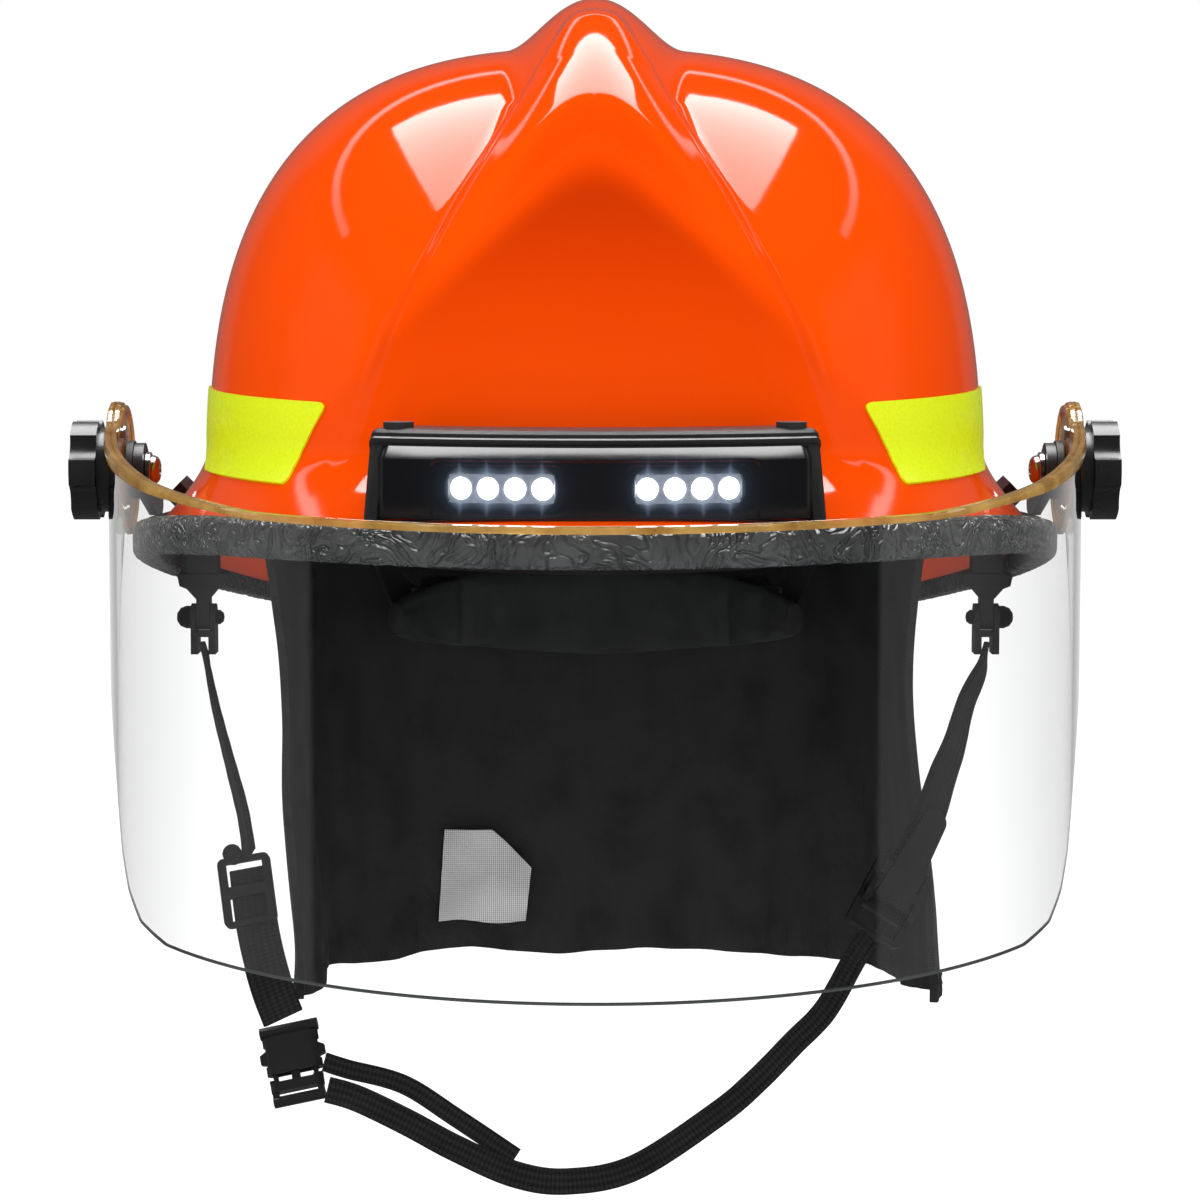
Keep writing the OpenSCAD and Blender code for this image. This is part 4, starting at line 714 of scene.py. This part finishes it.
def lamp_face(name):
    """Glossy black, with a painted glow round every emitter: a soft spot and a narrow upright streak, given off by the
    face itself.
    """
    spot_r, spot_high, spot_power, streak_w, streak_h, streak_light = 0.0026, 0.7, 1.6, 0.0005, 0.0042, 0.22
    m, t, b = material(name, (0.006, 0.006, 0.007), 0.2)
    rough_range(t, b, 0.16, 0.26, 160, 4)
    bump(t, b, noise_tex(t, 500, 2), 0.00001, 0.4)
    lay = lay_coords(t)

    def fade(light, squared, reach):
        return calc(t, "DIVIDE", light, times_plus(t, squared, 1 / reach ** 2, 1.0))

    halo = None
    for a in [s * a for s in (-1, 1) for a in led_a]:
        x = calc(t, "SUBTRACT", lay["X"], arc_mm(a) * MM)
        z = calc(t, "SUBTRACT", lay["Y"], led_z * MM)
        xx, zz = times(t, x, x), times(t, z, z)
        spot = calc(t, "POWER", fade(1.0, plus(t, xx, times(t, zz, spot_high)), spot_r), spot_power)
        glare = plus(t, spot, fade(fade(streak_light, xx, streak_w), zz, streak_h))
        halo = glare if halo is None else plus(t, halo, glare)
    # painted light: the emitters' spill and glare, glowing from the face
    light = ramp(t, halo, [(0.0, 0.0), (0.12, (0.012, 0.018, 0.028)), (0.5, (0.28, 0.36, 0.5)),
                           (1.0, (0.9, 0.95, 1.0))])
    feed(t, b, Emission_Color=light, Emission_Strength=1.0)
    return m


def build_windows():
    """Pale tray in each window, eight domed emitters and a clear pane over them."""
    def window(half_a, half_z, columns, rows):
        return np.meshgrid(np.linspace(window_a - half_a, window_a + half_a, columns),
                           np.linspace(led_z - half_z, led_z + half_z, rows))

    trays, domes, panes = [], [], []
    turn = 2 * np.pi * np.arange(32) / 32
    for s in (-1, 1):
        A, Z = window(6.05, 4.15, 90, 30)
        # the tray dips round each emitter
        dips = [0.6 * (1 - smooth((np.hypot(arc_mm(A - a), Z - led_z) - 2.4) / 1.4)) for a in led_a]
        trays.append(grid_sheet(lamp_xyz(lamp_r - 1.85 - sum(dips), s * A, Z), lamp_xyz(lamp_r - 3.3, s * A, Z)))
        A, Z = window(5.98, 4.08, 40, 12)
        panes.append(grid_sheet(lamp_xyz(lamp_r - 1.0, s * A, Z), lamp_xyz(lamp_r - 1.35, s * A, Z)))
        for a in led_a:
            rings = []
            for q in np.linspace(4, 90, 9):
                wide = 3.15 * sin_d(q)
                rings.append(lamp_xyz(lamp_r - 2.6 + cos_d(q), s * a + np.degrees(wide * np.cos(turn) / lamp_r),
                                      led_z + wide * np.sin(turn)))
            domes.append(loft(rings))
    piece("lamp_trays", join(trays), "lamp_tray")
    piece("lamp_domes", join(domes), "lamp_white", ["light_emitters"])
    piece("lamp_panes", join(panes), "lamp_clear", ["light_lenses"], angle=30)


M["lamp_face"] = lamp_face("lamp_face")
build_housing()
build_bezel()
build_windows()

# ---- face shield and its frame
# behind ear_y the shield's edges are those of its round ears, of radius ear_r about the pivot
shield_w, shield_f, shield_t, pivot_z, ear_r, ear_y = 148.3, 190.5, 2.0, 9.6, 19, -3
# upper and lower edge of the sheet in side view
top_y, top_z = [-200, -150, -99, -50, -18, -3], [5.5, 6.5, 11, 17, 22.5, 24]
low_y = [-200, -110, -90, -77, -68, -63, -57, -48, -36, -25, -12, -3]
low_z = [-118, -118, -115, -108, -98, -88, -76, -63, -50, -36, -19, -6]


def shield_xy(off, k, back=0):
    """Plan of the shield: k runs from 0, left, over 0.5, front, to 1, right; back goes straight on behind the ends."""
    return -(shield_w + off) * cos_d(180 * k), back - (shield_f + off) * sin_d(180 * k)


def shield_stations(columns, backs):
    """k and back from the left ear's rear, round the front, to the right ear's rear."""
    return [(0, b) for b in reversed(backs)] + [(k, 0) for k in np.linspace(0, 1, columns)] + [(1, b) for b in backs]


def shield_edges(y):
    low, top = (np.interp(y, low_y, low_z), np.interp(y, top_y, top_z)) if y < ear_y else (99, -99)
    if y > -ear_r:
        reach = math.sqrt(max(0.0, ear_r ** 2 - y * y))
        low, top = min(low, pivot_z - reach), max(top, pivot_z + reach)
    return low, top


def build_shield():
    """Clear sheet, with a row of painted shade along its sawn edge."""
    rows, painted_edge_row = 60, 0.6
    stations = shield_stations(420, list(np.linspace(1, 18.9, 14)))
    grids = []
    for off in (0, -shield_t):
        grid = []
        for k, back in stations:
            low, top = shield_edges(shield_xy(0, k, back)[1])
            x, y = shield_xy(off, k, back)
            z = np.append(low, np.linspace(low + painted_edge_row, top, rows - 1))
            grid.append(xyz(x, y, z))
        grids.append(np.array(grid))
    o = piece("face_shield", grid_sheet(*grids), "shield_clear", ["visor_shield"], "visor", angle=30)
    # the second material is a painted dark line along the clear edge, on the rim and the lowest row
    o.data.materials.append(M["shield_edge"])
    # grid_sheet gives the faces of both sides in pairs, row by row, and the rim's after them
    sides = (len(stations) - 1) * (rows - 1) * 2
    for f in o.data.polygons:
        if f.index >= sides or f.index // 2 % (rows - 1) == 0:
            f.material_index = 1


def build_frame():
    """Amber rail along the shield's upper edge, and a plate with a raised border inside each ear."""
    # the rail's section: off the sheet's outer face, and over its edge; it grows in height towards the ears
    rail = ((0.04, -1.0), (0.8, -1.05), (1.05, -0.7), (1.1, 0.35), (0.7, 0.85), (-0.6, 1.0), (-1.0, 0.72), (-1.4, 1.0),
            (-2.7, 0.85), (-3.1, 0.35), (-3.05, -0.7), (-2.8, -1.05), (-2.04, -1.0), (-2.04, 0.04), (0.04, 0.04))
    rings = []
    for k, back in shield_stations(400, [3, 6, 9]):
        y = shield_xy(0, k, back)[1]
        grow = 1 + 1.1 * float(smooth((y + 140) / 90))
        top = shield_edges(y)[1]
        rings.append([(*shield_xy(off, k, back), top + dz * (grow if dz < 0 or dz > 0.1 else 1)) for off, dz in rail])
    parts = [loft(rings)]
    # the plate's outline is the hull of two circles, one about the pivot and a small one in front of it
    plate_r, nose_r, nose_y, nose_z = 20, 6.5, -26, 12
    w = 2 * np.pi * np.arange(96) / 96
    c, n = np.cos(w), np.sin(w)
    for s in (-1, 1):
        layers = []
        for x, inset in ((-0.14, 0.8), (-0.3, 0.25), (-0.6, 0.0), (-1.6, 0.0), (-1.95, 0.2), (-2.05, 0.7),
                         (-2.0, 2.0), (-1.5, 2.4), (-1.5, 4.2)):
            r, nose = plate_r - inset, nose_r - inset
            round_pivot = r >= nose_y * c + (nose_z - pivot_z) * n + nose
            layers.append(xyz(s * (shield_w - shield_t + x), np.where(round_pivot, r * c, nose_y + nose * c),
                              np.where(round_pivot, pivot_z + r * n, nose_z + nose * n)))
        parts.append(loft(layers))
    piece("amber_frame", join(parts), "frame_amber", ["visor_frame"], "visor", angle=35)


build_shield()
build_frame()


# ---- pivot bolts
def build_bolt(side, s):
    """Stepped, domed head with a socket, on its shank."""
    low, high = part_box("pivot_bolt_" + side)
    inner, outer = (high[0], low[0]) if s < 0 else (low[0], high[0])
    length = abs(outer - inner) / MM
    # along the bolt from its head, and radius
    profile = [(1.5, 0.05), (1.5, 1.5), (0.15, 1.65), (0.0, 2.1), (0.2, 3.0), (0.8, 3.9), (1.6, 4.35), (2.3, 4.5),
               (2.5, 4.35), (2.6, 4.4), (2.75, 5.2), (2.95, 5.45), (4.2, 5.45), (4.4, 5.3), (4.5, 5.1), (4.5, 3.0),
               (length - 0.4, 3.0), (length, 2.6)]
    turn = 2 * np.pi * np.arange(56) / 56
    rings = [xyz(inner / MM + s * t, r * np.cos(turn), pivot_z + r * np.sin(turn)) for t, r in profile]
    piece("bolt_" + side, loft(rings), "chrome_bolt", ["pivot_bolt_" + side], angle=35)


build_bolt("left", -1)
build_bolt("right", 1)


# ---- straps
def route_points(p, steps):
    """Smooth curve through x, y, z, heading points."""
    last = len(p) - 1
    out = []
    for i in range(last):
        a, b, c, d = p[max(0, i - 1)], p[i], p[i + 1], p[min(last, i + 2)]
        for t in np.arange(steps) / steps:
            out.append(0.5 * (2 * b + t * (c - a) + t * t * (2 * a - 5 * b + 4 * c - d)
                              + t ** 3 * (3 * b - a - 3 * c + d)))
    return np.array([*out, p[-1]])


def strap(name, node, bands):
    """Webbing with rounded selvages and raised warp ribs. A band is its route, its face's heading in plan at both
    ends, and its width."""
    thick, ribs, rib_depth, weft, weft_depth, core = 1.8, 3, 0.1, 1.3, 0.03, 0.02
    across, side, full = band_section(25, 0.14)
    rib = 1 - rib_depth * np.cos(across * math.pi * 2 * ribs) * full
    parts, lays = [], []
    for route, from_a, to_a, width in bands:
        q = route_points(np.column_stack([route, np.linspace(from_a, to_a, len(route))]), 14)
        at, last = q[:, :3], len(q) - 1
        length = np.concatenate([[0], np.cumsum(np.linalg.norm(np.diff(at, axis=0), axis=1))])
        rings = []
        for i, mm in enumerate(length):
            way = at[min(last, i + 1)] - at[max(0, i - 1)]
            way /= np.linalg.norm(way)
            look = np.array([cos_d(q[i, 3]), sin_d(q[i, 3]), 0])
            face = look - way * (look @ way)
            face /= np.linalg.norm(face)
            wave = 1 + weft_depth * math.sin(mm / weft)
            out = side * full * rib * wave * thick / 2 + core * side
            rings.append(at[i] + np.outer(across * width / 2, np.cross(way, face)) + np.outer(out, face))
            lays.append(xyz(across * width / 2 * MM, mm * MM, side * MM))
        parts.append(loft(rings))
    piece(name, join(parts), "webbing_black", [node], "chinstrap", angle=70, lay=np.concatenate(lays))


left_route = [(-125, 26.6, -48.6), (-123, 22.5, -57), (-120, 17, -68), (-115, 10, -84), (-110.5, 3, -98),
              (-108, -3, -110)]
left_tail = [(-107.5, -5.6, -114), (-104.5, -12.8, -132), (-100, -20, -147), (-95.6, -24.9, -157.2)]
chin_upper = [(-82.2, -34.4, -168.7), (-75, -36.5, -170.5), (-58, -39.5, -174.5), (-42, -42.5, -184),
              (-24, -45.5, -195.5)]
chin_main = [(-81.2, -37.4, -176.6), (-72, -39, -179), (-57, -42, -185.5), (-42, -44.5, -193), (-24, -46.5, -200.5),
             (-8, -47, -202.5), (12, -46, -198.5), (37, -44, -182.5), (49, -42.5, -172.5), (60, -39, -162),
             (70, -35, -152.5), (79, -30, -138), (83.9, -26.5, -131.9)]
right_route = [(97.1, -12.4, -111.2), (104, -1, -100), (109.4, 7, -87), (113.5, 12, -78), (118, 18.5, -65),
               (123.4, 23.6, -55), (124.8, 26.6, -48.6)]
strap("strap_band_left", "strap_left", [(left_route, 180, 200, 12.0), (left_tail, 264, 264, 13.5)])
strap("strap_band_right", "strap_right", [(right_route, -80, 0, 12.0)])
strap("chin_band", "chin_webbing", [(chin_upper, -90, -90, 6.0), (chin_main, -90, -62, 8.25)])

# ---- curtain, header and tag
cloth_half_w, cloth_reach, cloth_power, cloth_foot, cloth_top = 98, 118, 3.4, -161, 11
cloth_from, cloth_to, cloth_gap = 9, 171, 4.4


def cloth_r(phi):
    """Radius of the bend that the cloth hangs in, near its hem."""
    return ((np.abs(cos_d(phi)) / cloth_half_w) ** cloth_power
            + (np.abs(sin_d(phi)) / cloth_reach) ** cloth_power) ** (-1 / cloth_power)


def cloth_points(across, down):
    """Points of the hanging cloth, across round the neck and down to the hem."""
    F, W = np.meshgrid(np.linspace(0, 1, across), np.linspace(0, 1, down), indexing="ij")
    phi = lerp(cloth_from, cloth_to, F)
    top = dome_r(phi) - shell_t - cloth_gap
    folds = 2.5 * W * np.sin(2 * np.pi * 6.5 * F) * (0.4 + 0.6 * W)
    creases = 0.9 * W * np.sin(2 * np.pi * 17.3 * F + 1.1 + 2.2 * W) * np.sin(np.pi * F)
    dents = np.zeros(F.shape)
    for i in range(across):
        for j in range(down):
            v = Vector((F[i, j] * 7.0, W[i, j] * 3.2, 4.2))
            dents[i, j] = noise.noise(v) * 1.5 + noise.noise(v * 2.7) * 0.6
    r = lerp(cloth_r(phi), top, (1 - W) ** 5) + folds + creases + dents * smooth(W / 0.25)
    # the right side swings out towards its corner, the left one a little
    aside = smooth((np.abs(cos_d(phi)) - 0.55) / 0.4)
    swing = aside * np.where(cos_d(phi) > 0, 9.5 * smooth((W - 0.3) / 0.65), 4.5 * smooth((W - 0.6) / 0.4))
    z = lerp(cloth_top, cloth_foot - 3 * np.sin(np.pi * F) + 1.1 * np.sin(2 * np.pi * 5.2 * F), W)
    return xyz(r * cos_d(phi) + swing, r * sin_d(phi), z)


def build_curtain():
    """The cloth, and its flat size in metres: the hem's length, and the height at its middle."""
    hem_w, seam, edge_seam, stitch_pitch, stitch_w, pucker_pitch = 12.5, 11.0, 1.8, 3.0, 0.7, 9.0
    across, down = 300, 130
    mid = cloth_points(across, down)
    du, dv = np.gradient(mid, axis=0), np.gradient(mid, axis=1)
    nrm = np.cross(du, dv)
    nrm /= np.linalg.norm(nrm, axis=-1, keepdims=True)
    nrm *= np.sign(nrm[across // 2, down // 2, 1])
    length_u = np.cumsum(np.linalg.norm(du, axis=-1), axis=0)
    length_v = np.cumsum(np.linalg.norm(dv, axis=-1), axis=1)
    height = length_v[across // 2, -1]
    # the cloth is doubled in its hem and its side hems
    low = height - length_v
    side = np.minimum(length_u, length_u[-1] - length_u)
    thick = np.minimum(1.3, 0.75 + sum(0.45 * (1 - smooth((d - hem_w) / 0.8)) for d in (low, side)))

    def stitch(dist, along):
        return np.exp(-(dist / stitch_w) ** 2) * (0.5 + 0.5 * np.sin(along * 2 * np.pi / stitch_pitch))

    press = 0.45 * (stitch(low - seam, length_u) + stitch(side - seam, length_v) + stitch(low - edge_seam, length_u))
    # the hem puckers along its seam
    pucker = 0.45 * np.sin(length_u * 2 * np.pi / pucker_pitch + 1.3 * np.sin(length_u / 31.0))
    pucker *= np.exp(-((low - seam) / 7.0) ** 2)
    sheet = grid_sheet(mid + nrm * (pucker + thick - press)[..., None], mid + nrm * (pucker - thick + press)[..., None])
    o = piece("curtain", sheet, "curtain_cloth", ["neck_curtain"], angle=75, lay=sheet_lay(length_u, length_v))
    return o, (float(length_u[-1].mean()) * MM, float(height) * MM)


def build_header():
    """Padded tape along the curtain's upper edge."""
    rings, lay = [], []
    for i, phi in enumerate(np.linspace(cloth_from, cloth_to, 160)):
        r = dome_r(phi) - shell_t - cloth_gap + 0.35
        puff = 0.15 * math.sin(i * 1.1)
        profile = ((0, 1.6), (0.25, 1.05), (1.6, 0.8 + puff), (3.0, 1.05), (3.2, 1.6), (3.3 + puff, 6.5), (3.2, 11.4),
                   (3.0, 11.9), (1.6, 12.1), (0.25, 11.9), (0, 11.4), (0, 6.5))
        rings.append([((r + dr) * cos_d(phi), (r + dr) * sin_d(phi), z) for dr, z in profile])
        lay += [(math.radians(phi) * r * MM, z * MM, 0) for dr, z in profile]
    return piece("curtain_tape", loft(rings), "header_tape", ["curtain_header"], angle=60, lay=lay)


def build_tag():
    """Folded cloth label sewn into the curtain, curling a little off it."""
    half_t, off_cloth, foot = 0.25, 6.3, -153
    F, W = np.meshgrid(np.linspace(0, 1, 44), np.linspace(0, 1, 44), indexing="ij")
    x = lerp(lerp(-52, -54.2, W), lerp(-22, -24, W), F)
    top = np.interp(F, [0, 0.55, 0.72, 1], [-121, -121, -125.5, -134])
    z = lerp(top, foot, W) + 0.7 * np.sin(F * 7) * W
    curl = 8 * np.maximum(0, F - 0.6) ** 2 + 0.7 * (1 - W) * np.sin(F * 5.0) ** 2 + 0.5 * np.sin(W * 8 + F * 4)
    front, back = (xyz(x, cloth_reach - off_cloth - curl + t, z) for t in (-half_t, half_t))
    return piece("tag", grid_sheet(front, back), "tag_white", ["care_tag"], angle=60, lay=sheet_lay(x, z))


curtain, curtain_flat = build_curtain()
header = build_header()
tag = build_tag()

# ---- pads and crown straps
band_r, band_front, band_y = 80, 116, 18


def band_xy(a, off):
    """Plan of the headband: half a circle about band_y behind, half an ellipse in front."""
    reach = band_r if sin_d(a) > 0 else band_front
    return (band_r + off) * cos_d(a), band_y + (reach + off) * sin_d(a)


def build_pad(name, node, mat, span, inner, heights, half_h, quilts, ribs, taper):
    """Stitched foam pad along the band: swollen between its seams, drawn in at them."""
    n, m, t, bulge, seam_depth, seam_w, puff_t = 240, 56, 5, 1.12, 0.32, 0.012, 0.16
    rings, lay = [], []
    for i in range(n):
        f = i / (n - 1)
        a = lerp(*span, f)
        full = max(0.3, math.sin(math.pi * (0.04 + 0.92 * f)) ** taper)
        mid = float(np.interp(f, np.linspace(0, 1, len(heights)), heights))
        seam = 1 - seam_depth * sum(math.exp(-((f - q) / seam_w) ** 2) for q in quilts)
        seam *= 1 - ribs * (0.5 + 0.5 * math.sin(f * 230))
        ring = []
        for k in range(m):
            q = 2 * math.pi * k / m
            c, s = math.cos(q), math.sin(q)
            # flat towards the band, full towards the head
            depth = 0.5 + 0.5 * math.copysign(abs(c) ** 0.8, c)
            puff = puff_t * t * noise.noise(Vector((f * 22, s * 2.2, 1.5))) if c < 0 else 0
            x, y = band_xy(a, inner - t * (1 - depth) * seam * bulge - puff)
            ring.append((x, y, mid + math.copysign(abs(s) ** 0.75, s) * full * half_h))
            lay.append((math.radians(a) * band_r * MM, s * half_h * MM * 1.3, 0))
        rings.append(ring)
    return piece(name, loft(rings), mat, [node], angle=80, lay=lay)


brow = build_pad("brow_cushion", "brow_pad", "pad_fabric", (-160, -20), -0.3, [2, 2], 12, [0.17, 0.5, 0.83], 0.1, 0.35)
nape = build_pad("nape_cushion", "nape_pad", "nape_fabric", (26, 154), -4.9, [-42, -42, -44, -42, -42], 14, [0.2, 0.8],
                 0.0, 0.5)


def crown_web(name, node, a, rise):
    """Flat crown strap with rounded selvages, over the liner's hollow."""
    steps, step_mm, half_w, half_t, r, h, foot, power = 120, 2.4, 10, 0.6, 99, 95.5 + rise, 13.4, 2.4
    across, side, full = band_section(21, 0.1)
    c, s = cos_d(a), sin_d(a)
    w = across * half_w
    rings, lay = [], []
    for i in range(steps + 1):
        b = math.pi * i / steps
        x = r * math.copysign(abs(math.cos(b)) ** (2 / power), math.cos(b))
        z = foot + h * max(0, math.sin(b)) ** (2 / power)
        nx, nz = math.copysign((abs(x) / r) ** (power - 1), x) / r, ((z - foot) / h) ** (power - 1) / h
        out = side * full * half_t / math.hypot(nx, nz)
        d = x + nx * out
        rings.append(xyz(d * c - w * s, d * s + w * c, z + nz * out))
        lay += [(q * MM, i * step_mm * MM, 0) for q in w]
    piece(name, loft(rings), "webbing_black", [node], angle=70, lay=lay)


crown_web("crown_web_lower", "crown_strap_lower", 40, 0.0)
crown_web("crown_web_upper", "crown_strap_upper", 140, 1.8)


# ---- studio
def area(name, at, look, size, radiance, mirrored_only=False):
    """Area lamp of a radiance, for mirroring surfaces alone or for matt ones alone."""
    d = bpy.data.lights.new(name, "AREA")
    d.shape = "RECTANGLE"
    d.size, d.size_y = size
    d.energy = radiance * math.pi * size[0] * size[1]
    o = place(name, d)
    o.location = at
    o.rotation_euler = (Vector(look) - Vector(at)).to_track_quat("-Z", "Y").to_euler()
    o.visible_diffuse, o.visible_glossy = not mirrored_only, mirrored_only
    o.visible_transmission = o.visible_camera = False


def build_world():
    """White to the camera; surfaces see white walls beside and behind the part, and a dim studio elsewhere."""
    ambient, wall_light, dim_light, strip_light = 0.84, 0.25, 0.02, 2.5
    world = bpy.data.worlds.new("studio")
    scene.world = world
    world.use_nodes = True
    t = world.node_tree
    t.nodes.clear()
    ray = add(t, "LightPath").outputs
    way = add(t, "SeparateXYZ", Vector=add(t, "TexCoord").outputs["Generated"]).outputs
    flat = calc(t, "SQRT", plus(t, calc(t, "POWER", way["X"], 2.0), calc(t, "POWER", way["Y"], 2.0)))
    # -1 in front, 0 beside and 1 behind, whatever the height
    ahead = calc(t, "DIVIDE", way["Y"], calc(t, "MAXIMUM", flat, 0.001))
    turn = times_plus(t, ahead, 0.5, 0.5)
    wall = ramp(t, turn, [(0.37, 0.0), (0.4, 1.0), (0.58, 1.0), (0.7, 0.1), (0.9, 0.1), (0.93, 0.45)])
    low = add(t, "MapRange", Value=way["Z"], From_Min=0.45, From_Max=0.55, To_Min=1.0, To_Max=0.0).outputs["Result"]
    glossy = times_plus(t, times(t, wall, low), wall_light, dim_light)
    # a thin bright strip far behind draws the line along the top of the shell
    strip = ramp(t, way["Z"], [(0.58, 0.0), (0.588, 1.0), (0.612, 1.0), (0.62, 0.0)])
    behind = calc(t, "GREATER_THAN", ahead, 0.2)
    glossy = times_plus(t, times(t, strip, behind), strip_light, glossy)
    # a clear sheet mirrors white walls all the way round behind the part
    sheet_wall = ramp(t, turn, [(0.395, 0.02), (0.41, 0.9), (0.6, 0.7), (0.76, 0.16), (0.86, 0.5), (0.93, 0.95)])
    mirror = times(t, sheet_wall, low)
    glossy = times_plus(t, ray["Is Singular Ray"], calc(t, "SUBTRACT", mirror, glossy), glossy)
    straight = calc(t, "LESS_THAN", ray["Glossy Depth"], 0.5)
    see = calc(t, "MAXIMUM", ray["Is Camera Ray"], times(t, ray["Is Transmission Ray"], straight))
    base = times_plus(t, ray["Is Glossy Ray"], calc(t, "SUBTRACT", glossy, ambient), ambient)
    strength = plus(t, see, times(t, base, calc(t, "SUBTRACT", 1.0, see)))
    background = add(t, "Background", Color=(1, 1, 1, 1), Strength=strength).outputs["Background"]
    add(t, "OutputWorld", Surface=background)


def build_floor():
    """Pale, plain floor that keeps the shadow and is white to the camera."""
    half_w, z = 8, -0.5
    mesh = bpy.data.meshes.new("floor")
    corners = [(x * half_w, y * half_w, z) for x, y in ((-1, -1), (1, -1), (1, 1), (-1, 1))]
    mesh.from_pydata(corners, [], [(0, 1, 2, 3)])
    o = place("floor", mesh)
    m, t, b = material("floor_white", (0.8, 0.8, 0.8), 0.9, specular=0)
    ray = add(t, "LightPath").outputs
    seen = calc(t, "MAXIMUM", ray["Is Camera Ray"], ray["Is Transmission Ray"])
    first = calc(t, "LESS_THAN", ray["Glossy Depth"], 0.5)
    feed(t, b, Base_Color=times(t, first, 0.8), Emission_Color=(1, 1, 1, 1),
         Emission_Strength=times(t, times(t, seen, 0.42), first))
    mesh.materials.append(m)
    o.visible_glossy = False
    return o


build_world()
area("front_fill", (0, -2.2, 0.35), (0, 0, 0), (2.4, 1.6), 1.6)
area("top_fill", (0, 0.2, 1.6), (0, 0, 0), (1.6, 1.6), 1.3)
area("softbox", (0, 0.24, 1.32), (0, 0.24, 0), (1.5, 1.2), 12.0, mirrored_only=True)
floor = build_floor()
